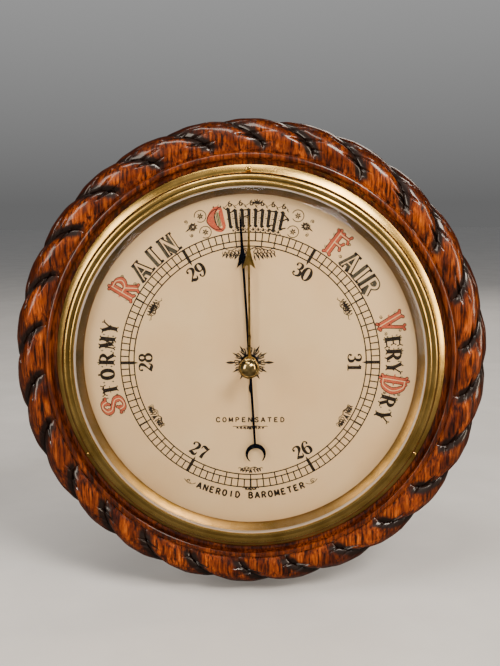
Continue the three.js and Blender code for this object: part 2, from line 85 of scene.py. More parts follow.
def aimed_camera():
    back = Vector((math.sin(LOOK_LEFT) * math.cos(LOOK_DOWN),
                   -math.cos(LOOK_LEFT) * math.cos(LOOK_DOWN), math.sin(LOOK_DOWN)))
    right = Vector((0, 0, 1)).cross(back).normalized()
    up = back.cross(right)
    c, s = math.cos(ROLL), math.sin(ROLL)
    right, up = right * c + up * s, up * c - right * s
    lens = bpy.data.cameras.new("studio_camera")
    lens.lens, lens.sensor_width = 45.95, 36
    camera = bpy.data.objects.new("studio_camera", lens)
    camera.matrix_world = Matrix((right, up, back)).transposed().to_4x4()
    camera.location = EYE
    bpy.context.collection.objects.link(camera)
    bpy.context.scene.camera = camera
    return camera


studio_camera = aimed_camera()
print("camera at", [round(v, 3) for v in studio_camera.location])

# %% [markdown]
# Materials here are node networks. Colours are written as the familiar sRGB hex values and turned
# to linear light by one function. A second small function adds any node, sets its properties and
# joins its inputs, so a network reads as a short list of steps that ends in its shader.

# %% Colour and node helpers
def srgb(code):
    """An sRGB hex value, such as 0xB89A4E, as linear RGBA."""
    parts = [((code >> shift) & 255) / 255 for shift in (16, 8, 0)]
    return (*(p / 12.92 if p <= 0.04045 else ((p + 0.055) / 1.055) ** 2.4 for p in parts), 1.0)


def grey(level):
    return (level, level, level, 1.0)


def node(tree, kind, joins=None, stops=(), **settings):
    """Adds a shader node. Each join sets an input, or links it to a socket or a node's output."""
    made = tree.nodes.new("ShaderNode" + kind)
    for key, value in settings.items():
        setattr(made, key, value)
    for name, value in (joins or {}).items():
        if isinstance(value, bpy.types.Node):
            value = next(output for output in value.outputs if output.enabled)
        if isinstance(value, bpy.types.NodeSocket):
            tree.links.new(value, made.inputs[name])
        else:
            made.inputs[name].default_value = value
    for number, (position, colour) in enumerate(stops):
        elements = made.color_ramp.elements
        element = elements[number] if number < 2 else elements.new(position)
        element.position, element.color = position, colour
    return made


def new_finish(name):
    """A new material and its empty network."""
    material = bpy.data.materials.new(name)
    material.use_nodes = True
    material.node_tree.nodes.clear()
    return material, material.node_tree


def per_mm(size):
    """The texture scale that gives features of about this many mm, as coordinates are in metres."""
    return 1.0 / (size * MM)


print("pure orange in linear light:", [round(v, 3) for v in srgb(0xFF8000)])

# %% [markdown]
# French polished oak: many thin coats of shellac rubbed on with a pad give a deep gloss, over a
# red-brown stain. Oak is ring-porous, so it shows as long dark pores in a lighter orange ground.
# The grain runs up the wall for the whole case, because the rim is turned from one wide board.
# Stain and old polish gather in the cuts, where no duster reaches. Down the roll's outer side the
# colour is darkened as painted shade, the shade that falls where the roll turns away from the light,
# and the faces off the roll are darkened a little. The mesh marks those places with two attributes
# called "recess" and "side".

# %% French polished oak
def french_polished_oak():
    material, tree = new_finish("french_polished_oak")
    place = node(tree, "TexCoord").outputs["Object"]
    along = node(tree, "Mapping", {"Vector": place, "Scale": (1, 1, 0.09)})
    slow = node(tree, "Mapping", {"Vector": place, "Scale": (1, 1, 0.3)})
    # Pores are 0.3 mm wide on real oak; 1.5 mm is as fine as still shows at arm's length.
    pores = node(tree, "TexNoise", {"Vector": along, "Scale": per_mm(1.5), "Detail": 5,
                                    "Roughness": 0.65, "Distortion": 0.3})
    rings = node(tree, "TexNoise", {"Vector": slow, "Scale": per_mm(9), "Detail": 3})
    blotch = node(tree, "TexNoise", {"Vector": place, "Scale": per_mm(20), "Detail": 2})
    ground = node(tree, "ValToRGB", {"Fac": pores}, [
        (0.35, srgb(0x180803)), (0.43, srgb(0x542104)), (0.53, srgb(0x984406)),
        (0.68, srgb(0xD0700E))])
    shade = node(tree, "ValToRGB", {"Fac": rings}, [
        (0.36, srgb(0x7E5A40)), (0.60, srgb(0xFFFFFF))])
    stain = node(tree, "Mix", {0: 0.8, 6: ground, 7: shade}, data_type="RGBA",
                 blend_type="MULTIPLY")
    wear = node(tree, "ValToRGB", {"Fac": blotch}, [
        (0.38, srgb(0x9A7A60)), (0.62, srgb(0xFFF2DC))])
    stain = node(tree, "Mix", {0: 0.7, 6: stain, 7: wear}, data_type="RGBA",
                 blend_type="MULTIPLY")
    # Painted shade: the "side" mark darkens the roll's outer side towards dark brown, and the faces
    # off the roll by a fixed amount.
    side = node(tree, "Attribute", attribute_name="side").outputs["Fac"]
    stain = node(tree, "Mix", {0: side, 6: stain, 7: srgb(0x2E0F04)}, data_type="RGBA")
    cut = node(tree, "Attribute", attribute_name="recess").outputs["Fac"]
    colour = node(tree, "Mix", {0: cut, 6: stain, 7: srgb(0x1A0A04)}, data_type="RGBA")
    dull = node(tree, "ValToRGB", {"Fac": cut}, [(0.2, grey(0.36)), (1.0, grey(0.5))])
    bump = node(tree, "Bump", {"Height": pores, "Strength": 0.28, "Distance": 0.25 * MM})
    shader = node(tree, "BsdfPrincipled", {
        "Base Color": colour, "Roughness": dull, "Normal": bump, "Specular IOR Level": 0.15,
        "Coat Weight": 0.6, "Coat Roughness": 0.12, "Coat IOR": 1.5})
    node(tree, "OutputMaterial", {"Surface": shader})
    return material


oak_finish = french_polished_oak()
print("made", oak_finish.name)

# %% [markdown]
# Lacquered brass: the rings are spun on a lathe, polished, then lacquered while warm. The tool
# leaves fine circular lines, so the shader stretches its highlights across them, and the old
# lacquer mellows in soft patches towards olive. A metal keeps the default IOR.

# %% Lacquered brass
def turned_metal(name, bright, mellow, roughness, lines=0.5, stretch=0.35):
    """A metal turned about the dial's axis, with tool lines this many mm apart."""
    material, tree = new_finish(name)
    place = node(tree, "TexCoord").outputs["Object"]
    flat = node(tree, "VectorMath", {0: place, 1: (1, 0, 1)}, operation="MULTIPLY")
    radius = node(tree, "VectorMath", {0: flat}, operation="LENGTH")
    depth = node(tree, "SeparateXYZ", {"Vector": place}).outputs["Y"]
    ring = node(tree, "CombineXYZ", {"X": radius, "Y": depth})
    turning = node(tree, "TexNoise", {"Vector": ring, "Scale": per_mm(lines), "Detail": 3})
    patches = node(tree, "TexNoise", {"Vector": place, "Scale": per_mm(22), "Detail": 4,
                                      "Roughness": 0.6})
    tone = node(tree, "ValToRGB", {"Fac": patches}, [(0.38, srgb(mellow)), (0.60, srgb(bright))])
    lined = node(tree, "ValToRGB", {"Fac": turning}, [(0.35, grey(0.88)), (0.65, grey(1.0))])
    colour = node(tree, "Mix", {0: 1.0, 6: tone, 7: lined}, data_type="RGBA",
                  blend_type="MULTIPLY")
    gloss = node(tree, "ValToRGB", {"Fac": turning}, [
        (0.3, grey(roughness * 0.8)), (0.7, grey(roughness * 1.2))])
    bump = node(tree, "Bump", {"Height": turning, "Strength": 0.08, "Distance": 0.05 * MM})
    tangent = node(tree, "Tangent", direction_type="RADIAL", axis="Y")
    shader = node(tree, "BsdfPrincipled", {
        "Base Color": colour, "Metallic": 1.0, "Roughness": gloss, "Normal": bump,
        "Anisotropic": stretch, "Tangent": tangent})
    node(tree, "OutputMaterial", {"Surface": shader})
    return material


lacquered_brass = turned_metal("lacquered_brass", 0xD6B064, 0xB28E48, 0.23)
gilt_brass = turned_metal("gilt_brass", 0xB08648, 0x8A682C, 0.34, lines=0.8, stretch=0.2)
print("made", lacquered_brass.name, "and", gilt_brass.name)

# %% [markdown]
# The steel and the plain metals are the ones a watchmaker would name. Blued steel is polished and
# heated until it turns blue-black, the bridge is blackened iron, the capsule is nickel silver, and
# all of them show the faint unevenness of a surface finished by hand.

# %% Steels and plain metals
def plain_metal(name, bright, dark, roughness, speck):
    """A metal with soft variation in colour and gloss, in specks of about this many mm."""
    material, tree = new_finish(name)
    place = node(tree, "TexCoord").outputs["Object"]
    specks = node(tree, "TexNoise", {"Vector": place, "Scale": per_mm(speck), "Detail": 5})
    tone = node(tree, "ValToRGB", {"Fac": specks}, [(0.35, srgb(dark)), (0.65, srgb(bright))])
    gloss = node(tree, "ValToRGB", {"Fac": specks}, [
        (0.3, grey(roughness * 0.8)), (0.7, grey(roughness * 1.3))])
    bump = node(tree, "Bump", {"Height": specks, "Strength": 0.12, "Distance": 0.05 * MM})
    shader = node(tree, "BsdfPrincipled", {
        "Base Color": tone, "Metallic": 1.0, "Roughness": gloss, "Normal": bump})
    node(tree, "OutputMaterial", {"Surface": shader})
    return material


blued_steel = plain_metal("blued_steel", 0x24283A, 0x0E1020, 0.22, 1.2)
polished_steel = plain_metal("polished_steel", 0xB9B8B4, 0x8E8D88, 0.28, 2.0)
blackened_iron = plain_metal("blackened_iron", 0x3C3A38, 0x1C1B1A, 0.55, 1.0)
nickel_silver = plain_metal("nickel_silver", 0xC9C4B4, 0xA09A88, 0.25, 3.0)
plain_brass = plain_metal("plain_brass", 0xB08C48, 0x86682E, 0.32, 3.0)
knob_brass = plain_metal("polished_knob_brass", 0xD2B87C, 0x8F7440, 0.18, 2.5)
print("plain metals:", 6)

# %% [markdown]
# Vitreous enamel is glass fired on to copper, so it stays glossy for good and only picks up a few
# dark specks. The print is transfer ink, which lies a little thin in places and shines less.

# %% Enamel and inks
def fired_enamel():
    """Cream enamel: faint mottling from the kiln, a few age specks and a clear glossy surface."""
    material, tree = new_finish("cream_vitreous_enamel")
    place = node(tree, "TexCoord").outputs["Object"]
    kiln = node(tree, "TexNoise", {"Vector": place, "Scale": per_mm(40), "Detail": 3})
    tone = node(tree, "ValToRGB", {"Fac": kiln}, [
        (0.35, srgb(0xDAB684)), (0.65, srgb(0xDFBF8F))])
    dust = node(tree, "TexNoise", {"Vector": place, "Scale": per_mm(1.1), "Detail": 2})
    spots = node(tree, "ValToRGB", {"Fac": dust}, [
        (0.24, srgb(0xB79C76)), (0.31, srgb(0xFFFFFF))])
    colour = node(tree, "Mix", {0: 0.35, 6: tone, 7: spots}, data_type="RGBA",
                  blend_type="MULTIPLY")
    ripple = node(tree, "TexNoise", {"Vector": place, "Scale": per_mm(7), "Detail": 1})
    bump = node(tree, "Bump", {"Height": ripple, "Strength": 0.05, "Distance": 0.1 * MM})
    shader = node(tree, "BsdfPrincipled", {
        "Base Color": colour, "Roughness": 0.42, "Normal": bump, "Coat Weight": 0.3,
        "Coat Roughness": 0.15})
    node(tree, "OutputMaterial", {"Surface": shader})
    return material


def printing_ink(name, full, thin):
    """Ink laid by transfer: a little thinner and browner in places, and less glossy than enamel."""
    material, tree = new_finish(name)
    place = node(tree, "TexCoord").outputs["Object"]
    cover = node(tree, "TexNoise", {"Vector": place, "Scale": per_mm(0.7), "Detail": 3})
    tone = node(tree, "ValToRGB", {"Fac": cover}, [(0.40, srgb(full)), (0.75, srgb(thin))])
    shader = node(tree, "BsdfPrincipled", {
        "Base Color": tone, "Roughness": 0.6, "Specular IOR Level": 0.2})
    node(tree, "OutputMaterial", {"Surface": shader})
    return material


cream_enamel = fired_enamel()
black_ink = printing_ink("black_ink", 0x140D08, 0x33271A)
red_ink = printing_ink("red_ink", 0xB04A32, 0xC06A4C)
shading_ink = printing_ink("shading_ink", 0x3A3428, 0x5A5444)
olive_ink = printing_ink("olive_ink", 0x4E5C34, 0x7A805A)
grey_ink = printing_ink("grey_ink", 0x4A463A, 0x747060)
print("inks:", [ink.name for ink in (black_ink, red_ink, shading_ink, olive_ink, grey_ink)])

# %% [markdown]
# Bevelled plate glass is almost invisible face on and shows at its edges. Here it is a thin clear
# layer: the shader's alpha is low in the middle, rises where the surface turns away and rises again
# over the ground bevel. Its outer edge carries a painted reflection: a pale ring of colour beside the
# bezel's lip that stands in for the light that the bevel's edge mirrors.

# %% Bevelled plate glass
GLASS_FLAT_RADIUS = 98.9
GLASS_EDGE_RADIUS = 103.6


def plate_glass():
    material, tree = new_finish("bevelled_plate_glass")
    place = node(tree, "TexCoord").outputs["Object"]
    flat = node(tree, "VectorMath", {0: place, 1: (1, 0, 1)}, operation="MULTIPLY")
    radius = node(tree, "VectorMath", {0: flat}, operation="LENGTH")
    bevel = node(tree, "MapRange", {
        "Value": radius, "From Min": (GLASS_FLAT_RADIUS - 0.4) * MM,
        "From Max": (GLASS_FLAT_RADIUS + 0.4) * MM, "To Min": 0.0, "To Max": 0.07})
    # The mask of a painted reflection: a pale ring just inside the bezel's lip.
    edge = node(tree, "MapRange", {
        "Value": radius, "From Min": (GLASS_EDGE_RADIUS - 0.2) * MM,
        "From Max": (GLASS_EDGE_RADIUS + 0.2) * MM, "To Min": 0.0, "To Max": 0.6})
    turning_away = node(tree, "LayerWeight", {"Blend": 0.05}).outputs["Fresnel"]
    veil = node(tree, "TexNoise", {"Vector": place, "Scale": per_mm(30), "Detail": 2})
    dust = node(tree, "MapRange", {"Value": veil, "To Min": 0.0, "To Max": 0.015})
    total = node(tree, "Math", {0: turning_away, 1: bevel}, operation="ADD")
    total = node(tree, "Math", {0: total, 1: edge}, operation="ADD")
    total = node(tree, "Math", {0: total, 1: dust}, operation="ADD", use_clamp=True)
    # Painted reflection: the colour turns from the glass's dark tint to pale at that ring.
    colour = node(tree, "ValToRGB", {"Fac": edge}, [
        (0.1, srgb(0x5A625C)), (0.4, srgb(0xF0E0D0))])
    shader = node(tree, "BsdfPrincipled", {
        "Base Color": colour, "Alpha": total, "Roughness": 0.03, "IOR": 1.52,
        "Specular IOR Level": 1.0})
    node(tree, "OutputMaterial", {"Surface": shader})
    return material


clear_glass = plate_glass()
print("finishes:", len(bpy.data.materials))

# %% [markdown]
# Nearly every piece of a barometer is turned, so the first mesh helper spins a profile about the
# dial's axis. Many more steps than the moving frame uses keep the edge of a ring round. Sharp
# arrises come from the angle between faces, while gentle curves shade smoothly.

# %% Mesh helpers
def put_in_scene(name, data):
    made = bpy.data.objects.new(name, data)
    bpy.context.collection.objects.link(made)
    return made


def turn_outwards(mesh, weld=False):
    """Turns every face outwards, first welding the vertices that lie on each other if asked."""
    built = bmesh.new()
    built.from_mesh(mesh)
    if weld:
        bmesh.ops.remove_doubles(built, verts=built.verts, dist=1e-7)
    bmesh.ops.recalc_face_normals(built, faces=built.faces)
    built.to_mesh(mesh)
    built.free()


def shade_crisply(mesh, sharp):
    """Smooth shading that breaks where faces meet at more than this many degrees."""
    mesh.shade_smooth()
    mesh.set_sharp_from_angle(angle=math.radians(sharp))


def piece(name, verts, faces, finish, body, slot, replaced=(), sharp=35):
    """A new piece of the barometer: its mesh, its finish and the body that it moves with."""
    mesh = bpy.data.meshes.new(name)
    mesh.from_pydata(verts, [], faces)
    turn_outwards(mesh, weld=True)
    shade_crisply(mesh, sharp)
    mesh.materials.append(finish)
    made = put_in_scene(name, mesh)
    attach(made, body)
    if replaced:
        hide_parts(*replaced)
    return made


def lathe(profile, steps=256):
    """Spins (radius, depth) points round the dial's axis; off the axis the profile is closed."""
    on_axis = profile[0][0] == 0
    verts, faces, rows = [], [], []
    for radius, depth in profile:
        start = len(verts)
        if radius == 0:
            verts.append(at(0, 0, depth))
            rows.append([start] * steps)
        else:
            verts += [at(radius, 360 * i / steps, depth) for i in range(steps)]
            rows.append(list(range(start, start + steps)))
    pairs = list(zip(rows, rows[1:])) + ([] if on_axis else [(rows[-1], rows[0])])
    for low, high in pairs:
        for i in range(steps):
            j = (i + 1) % steps
            corners = (low[i], low[j], high[j], high[i])
            faces.append(tuple(dict.fromkeys(corners)))
    return verts, faces


def band(low, high, count):
    """The faces between two closed loops of this many vertices, which start at low and high."""
    return [(low + i, low + (i + 1) % count, high + (i + 1) % count, high + i)
            for i in range(count)]


def arc(radius, depth, size, start, end, steps):
    """Profile points on an arc; 0 degrees points outwards and 90 towards the front."""
    angles = [math.radians(start + (end - start) * i / steps) for i in range(steps + 1)]
    return [(radius + size * math.cos(a), depth + size * math.sin(a)) for a in angles]


print("a bead's profile points:", len(arc(108.8, 43.6, 3.4, -42, 100, 22)))

# %% [markdown]
# The rim is carved as a rope of 26 strands. Each strand is a rounded leaf between two V cuts that
# sweep clockwise towards the dial, and the carver has let short tapering gouges in from both cuts,
# so that the strand looks twisted. One grid does it all: its columns follow the cuts, its rows
# follow the turned section, and every vertex is pushed in along the section's own normal.

# %% The rope's layout
STRANDS = 26
PITCH = 360 / STRANDS
COLUMNS = 36                 # across each strand, closer together beside the cuts
FIRST_CUT = 3.6              # degrees clockwise from the top, at the inner edge
SWEEP = 10.2                 # degrees that a cut travels from the rim's edge to the dial side
ROPE = {"centre": 131.2, "depth": 25.5, "roll": 13, "start": -62, "end": 122}
CUT_DEPTH = 3.6

carver = random.Random(26)
cut_shift = [carver.uniform(-0.4, 0.4) for _ in range(STRANDS)]
cut_strength = [carver.uniform(0.88, 1.10) for _ in range(STRANDS)]
# Each gouge: which cut it starts from (0 or 1), how far along that cut, its reach, its half width
# and its depth in mm.
GOUGES = [(0, 0.53, 0.55, 0.026, 1.1), (0, 0.69, 0.42, 0.024, 1.0), (0, 0.84, 0.30, 0.022, 0.9),
          (1, 0.43, 0.50, 0.050, 2.3), (1, 0.62, 0.44, 0.050, 2.4), (1, 0.80, 0.34, 0.044, 2.0)]
gouge_shift = [[carver.uniform(-0.03, 0.03) for _ in GOUGES] for _ in range(STRANDS)]
# The cuts run shallower over the rim's edge at the top, where the outline looks nearly smooth.
SHALLOW_TOP = [0.5 + 0.5 * math.cos(math.radians(PITCH * (i + 0.5))) for i in range(STRANDS)]


def smoothstep(x, low=0.0, high=1.0):
    t = np.clip((x - low) / (high - low), 0, 1)
    return t * t * (3 - 2 * t)


def sweep_at(angle):
    """How far a cut has travelled, in degrees, at this angle round the roll's section."""
    along = np.clip(angle / ROPE["end"], 0, 1)
    curved = SWEEP * (0.55 * math.sin(math.pi * along / 2) + 0.45 * float(smoothstep(along)))
    return curved + min(angle, 0) * 0.076


print("strands:", STRANDS, "pitch:", round(PITCH, 2), "degrees")

# %% [markdown]
# The carving itself is a depth for each place on a strand: u runs across it from cut to cut and v
# from the rim's edge to the dial side. The V cut's walls are steep and the strand's back is round,
# which a low power of a sine gives. The same numbers say how much dark stain the place holds.

# %% How deep the chisel goes
def carving(u, v, strand):
    """(depth in mm, stain from 0 to 1) over the arrays u and v of one strand."""
    strength = (1 - u) * cut_strength[strand] + u * cut_strength[(strand + 1) % STRANDS]
    ends = smoothstep(v, 0.0, 0.16) * (1 - 0.45 * smoothstep(v, 0.9, 1.0))
    hollow = 1 - np.sin(np.pi * np.clip(u, 0, 1)) ** 0.62
    shallow = 1 - 0.5 * SHALLOW_TOP[strand] * (1 - smoothstep(v, 0.36, 0.62))
    depth = CUT_DEPTH * strength * ends * hollow * shallow
    stain = smoothstep(depth, 0.8, 1.8)
    for (side, middle, reach, width, deep), shift in zip(GOUGES, gouge_shift[strand]):
        along = (u if side == 0 else 1 - u) / reach
        across = (v - middle - shift + 0.03 * along) / (width * np.clip(1 - along, 0.02, 1) ** 0.7)
        bite = np.clip(1 - across ** 2, 0, 1) * np.clip(1 - along ** 2, 0, 1)
        depth = depth + deep * bite
        stain = np.maximum(stain, smoothstep(bite * deep, 0.25, 1.2))
    ripple = 0.22 * np.sin(23 * v + 6 * u + strand * 1.7) * np.sin(10 * u + strand)
    return np.clip(depth + ripple * (1 - stain), 0, 5.0), stain * ends


deepest = [round(float(carving(u, np.full(3, 0.6), 0)[0].max()), 1)
           for u in (np.zeros(3), np.full(3, 0.5))]
print("depth in a cut and on a strand's back, mm:", deepest)

# %% [markdown]
# The turned section runs from the back edge, up the plain side, round the roll, into the fillet
# and over the inner moulding, then under the bezel and down into the hollow for the movement.

# %% The case's section
def case_section():
    """Rows of (radius, depth, outward normal, angle round the roll, v), with v None off the roll."""
    rope_rows = 88
    roll = []
    for i in range(rope_rows + 1):
        angle = ROPE["start"] + (ROPE["end"] - ROPE["start"]) * i / rope_rows
        c, s = math.cos(math.radians(angle)), math.sin(math.radians(angle))
        radius = ROPE["centre"] + ROPE["roll"] * c
        depth = ROPE["depth"] + ROPE["roll"] * s
        roll.append((radius, depth, (c, s), angle, max(0.0, i / rope_rows)))
    side = [(131, 0), (133.2, 0.3), (134.7, 1.2), (135.6, 2.5), (136, 4), (136, 8), (136, 12.3),
            (136.5, 13.3)]
    moulding = [(124.0, 36.7), (123.9, 37.5), (123.6, 38.2), (123.1, 38.6), (122.3, 38.8),
                (121.4, 38.75), (120.8, 38.5), (120.45, 38.0), (120.2, 36.9), (119.7, 36.1),
                (118.9, 35.6), (117.8, 35.3), (110.6, 35.3), (110.6, 38), (105, 38)]
    cavity = [(92.6, 38), (92, 37.4), (92, 8.6), (91.4, 8), (44, 8)]
    start, end = ROPE["start"], ROPE["end"]
    rows = [(r, d, (0, 0), start, None) for r, d in side]
    rows += roll
    rows += [(r, d, (0, 0), end, None) for r, d in moulding + cavity]
    return rows


section = case_section()
print("section rows:", len(section))

# %% [markdown]
# The grid is filled strand by strand with numpy, which is quick for a hundred thousand vertices.
# Two discs close it at the back and at the bottom of the hollow. Each vertex also gets its two marks:
# how much stain its cut holds, and how much painted shade it takes, most down the roll's outer side.

# %% The carved grid
def carved_grid():
    fraction = np.arange(COLUMNS) / COLUMNS
    u = fraction - 0.62 * np.sin(2 * np.pi * fraction) / (2 * np.pi)
    verts, stain_rows, painted_shade_rows = [], [], []
    for radius, depth, normal, angle, v in section:
        turn, push, stain = [], [], []
        for strand in range(STRANDS):
            shift = (1 - u) * cut_shift[strand] + u * cut_shift[(strand + 1) % STRANDS]
            turn.append(FIRST_CUT + PITCH * (strand + u) + shift - SWEEP + sweep_at(angle))
            if v is None:
                push.append(np.zeros(COLUMNS))
                stain.append(np.zeros(COLUMNS))
            else:
                cut, dark = carving(u, np.full(COLUMNS, v), strand)
                push.append(cut)
                stain.append(dark)
        turn, push = np.radians(np.concatenate(turn)), np.concatenate(push)
        far, out = radius - push * normal[0], depth - push * normal[1]
        verts.append(np.stack([far * np.sin(turn), -out, far * np.cos(turn)], axis=1) * MM)
        stain_rows.append(np.concatenate(stain))
        # Painted shade: most on the roll's outer side and fading out towards the front; every face
        # off the roll takes a fixed share.
        side = 0.35 if v is None else 0.85 * (1 - float(smoothstep(v, 0.46, 0.80)))
        painted_shade_rows.append(np.full(STRANDS * COLUMNS, side))
    around, rows = STRANDS * COLUMNS, len(section)
    faces = []
    for row in range(rows - 1):
        faces += band(row * around, (row + 1) * around, around)
    faces.append(tuple(range(around)))
    faces.append(tuple(range((rows - 1) * around, rows * around)))
    # The "side" mark carries the painted shade, and "recess" carries the stain in the cuts.
    marks = {"recess": np.concatenate(stain_rows), "side": np.concatenate(painted_shade_rows)}
    return np.concatenate(verts), faces, marks


print("grid vertices:", STRANDS * COLUMNS * len(section))

# %% [markdown]
# The recess for the hanging plate, its keyhole pocket, two screw holes and the hole for the
# adjusting screw are cut with Boolean modifiers, as a chisel and a drill would do after the
# turning. Each cutter is an outline in x and z that runs from one depth to another.

# %% Cutters
PLATE_HALF_WIDTH, PLATE_LOW, PLATE_HIGH = 20, 92, 116
PLATE_MIDDLE = (PLATE_LOW + PLATE_HIGH) / 2
PLATE_SCREW_X = 14
ENTRY_HEIGHT, SLOT_HEIGHT = 101, 110.5      # the keyhole's round entry, and the top of its slot
ADJUSTER = (38, -19)                        # x and z of the adjusting screw


def cutter(outline, back, front):
    """A solid with its outline in x and z, for a Boolean cut from one depth to another."""
    count = len(outline)
    verts = [on_dial(x, z, depth) for depth in (back, front) for x, z in outline]
    faces = [tuple(range(count)), tuple(range(count, 2 * count)), *band(0, count, count)]
    mesh = bpy.data.meshes.new("cutter")
    mesh.from_pydata(verts, [], faces)
    turn_outwards(mesh)
    return put_in_scene("cutter", mesh)


def cut_away(target, cutters):
    """Cuts the solids out of target, applies the result and clears the cutters away."""
    for solid in cutters:
        modifier = target.modifiers.new("cut", "BOOLEAN")
        modifier.operation, modifier.solver, modifier.object = "DIFFERENCE", "EXACT", solid
    graph = bpy.context.evaluated_depsgraph_get()
    result = bpy.data.meshes.new_from_object(target.evaluated_get(graph))
    target.modifiers.clear()
    target.data = result
    for solid in cutters:
        bpy.data.objects.remove(solid)


def circle(x, z, radius):
    turns = [2 * math.pi * i / 40 for i in range(40)]
    return [(x + radius * math.sin(a), z + radius * math.cos(a)) for a in turns]


def keyhole(entry, slot):
    """A round entry of one radius with a slot of another half width rising from it."""
    gap = math.asin(slot / entry)
    round_part = [(entry * math.sin(a), ENTRY_HEIGHT + entry * math.cos(a))
                  for a in np.linspace(gap, 2 * math.pi - gap, 30)]
    cap = [(slot * math.cos(a), SLOT_HEIGHT + slot * math.sin(a))
           for a in np.linspace(math.pi, 0, 13)]
    return round_part + cap


def plate_recess(clearance):
    """The hanging plate's outline with this much room round it."""
    half = PLATE_HALF_WIDTH + clearance
    low, high = PLATE_LOW - clearance, PLATE_HIGH + clearance
    return [(-half, low), (half, low), (half, high), (-half, high)]


print("hanging plate:", 2 * PLATE_HALF_WIDTH, "by", PLATE_HIGH - PLATE_LOW, "mm")

# %% [markdown]
# All of it together: the grid becomes a mesh that carries both marks, the recesses are cut, and the
# result rides on the case in place of the plain oak node.

# %% Build the case
def build_case():
    verts, faces, marks = carved_grid()
    mesh = bpy.data.meshes.new("carved_oak_case")
    mesh.from_pydata(verts.tolist(), [], faces)
    for mark, values in marks.items():
        mesh.attributes.new(mark, "FLOAT", "POINT").data.foreach_set("value", values)
    turn_outwards(mesh)
    case = put_in_scene("carved_oak_case", mesh)
    cut_away(case, [
        cutter(plate_recess(0.3), -1, 1.9),
        cutter(keyhole(6.7, 4.6), -1, 7.4),
        cutter(circle(*ADJUSTER, 4), -1, 9),
        cutter(circle(-PLATE_SCREW_X, PLATE_MIDDLE, 1.3), -1, 7.2),
        cutter(circle(PLATE_SCREW_X, PLATE_MIDDLE, 1.3), -1, 7.2),
    ])
    shade_crisply(case.data, 48)
    case.data.materials.clear()
    case.data.materials.append(oak_finish)
    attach(case, "case")
    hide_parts("oak_case")
    return case


carved_case = build_case()
print("case vertices:", len(carved_case.data.vertices))

# %% [markdown]
# The bezel is one brass casting turned all over: a low arris outside, a flat band, a quirk cut
# beside a bold bead, and a thin lip that holds the glass. Small flats on each arris give the
# light something to catch, as a real tool does.

# %% Bezel, sight ring and glass
bezel_profile = [
    (107.9, 38.3), (110.9, 38.3), (110.9, 35.6), (117.1, 35.6), (117.2, 35.7), (117.2, 36.6),
    (117.05, 36.9), (116.7, 37.1), (112.1, 39.55), (111.8, 39.6), (111.5, 39.4), (111.2, 39.0),
    (110.9, 39.2), (110.8, 40.4), *arc(108.8, 43.6, 3.4, -42, 100, 22),
    (107.7, 46.85), (107.2, 47.2), (106.4, 47.65), (105.4, 47.65), (104.7, 47.4),
    (104.5, 47.0), (104.5, 46.6), (107.9, 46.6),
]
bezel = piece("turned_brass_bezel", *lathe(bezel_profile, 360), lacquered_brass,
              "case", "lacquered_brass", ["brass_bezel"], sharp=40)

sight_profile = [
    (99.9, 39.8), (100.3, 39.8), (100.8, 39.85), (105.2, 43.6), (107.4, 43.6), (107.4, 44.5),
    (104.4, 44.5), (104.1, 44.4), (100.1, 40.3), (99.9, 40.1),
]
sight = piece("spun_sight_ring", *lathe(sight_profile, 360), gilt_brass,
              "case", "gilt_brass", ["sight_ring"], sharp=50)

glass_profile = [
    (2.6, 44.8), (107.3, 44.8), (107.4, 44.9), (107.4, 46.2), (107.3, 46.3), (104.2, 46.3),
    (99.2, 49.2), (98.9, 49.3), (2.7, 49.3), (2.6, 49.2),
]
glass = piece("bevelled_front_glass", *lathe(glass_profile, 256), clear_glass,
              "case", "glass", ["bevelled_glass"], sharp=20)
print("bezel, sight ring and glass:", sum(len(o.data.polygons) for o in (bezel, sight, glass)))

# %% [markdown]
# Screws: a domed head with a slot, over a plain shank. The slot is about a sixth as wide as the
# head, and it is cut with the same Boolean helper as the case.

# %% Slotted screws
def slotted_screw(name, radius, clockwise, seat, head, rise, shank, length, finish, slot, turn):
    """A screw at a place round the dial, its head's underside at depth seat, facing the front."""
    dome = [(head * math.cos(a), seat + rise * (0.3 + 0.7 * math.sin(a)))
            for a in np.linspace(0, math.pi / 2, 9)[:-1]]
    profile = [(0, seat - length), (shank * 0.3, seat - length), (shank, seat - length + shank),
               (shank, seat), (head * 0.97, seat), (head, seat + rise * 0.12), *dome,
               (0, seat + rise)]
    verts, faces = lathe(profile, 28)
    shift = Vector(at(radius, clockwise, 0))
    verts = [tuple(Vector(v) + shift) for v in verts]
    made = piece(name, verts, faces, finish, "case", slot, [name.replace("slotted_", "")])
    half, wide = head * 1.3, head * 0.16
    c, s = math.cos(math.radians(turn)), math.sin(math.radians(turn))
    x, z = shift.x / MM, shift.z / MM
    corners = [(-half, -wide), (half, -wide), (half, wide), (-half, wide)]
    cut_away(made, [cutter([(x + a * c - b * s, z + a * s + b * c) for a, b in corners],
                           seat + rise * 0.45, seat + rise + 1)])
    shade_crisply(made.data, 35)
    return made


for index, (clockwise, turn) in enumerate(((0, 25), (120, 100), (240, 160)), start=1):
    slotted_screw(f"slotted_bezel_screw_{index}", 114, clockwise, 39.4, 1.9, 1.3, 1.0, 12.6,
                  lacquered_brass, "lacquered_brass", turn)
print("bezel screws:", 3)

# %% [markdown]
# The dial is a copper disc coated with enamel, so its surface is flat with a soft rounded edge and
# a hole for the hand's arbor.

# %% Dial
dial_profile = [(1.6, 38.3), (106, 38.3), (106, 39.2), (105.9, 39.4), (105.7, 39.5), (1.9, 39.5),
                (1.7, 39.45), (1.6, 39.3)]
dial = piece("fired_enamel_dial", *lathe(dial_profile, 256), cream_enamel,
             "case", "enamel", ["enamel_dial"], sharp=50)
print("dial faces:", len(dial.data.polygons))

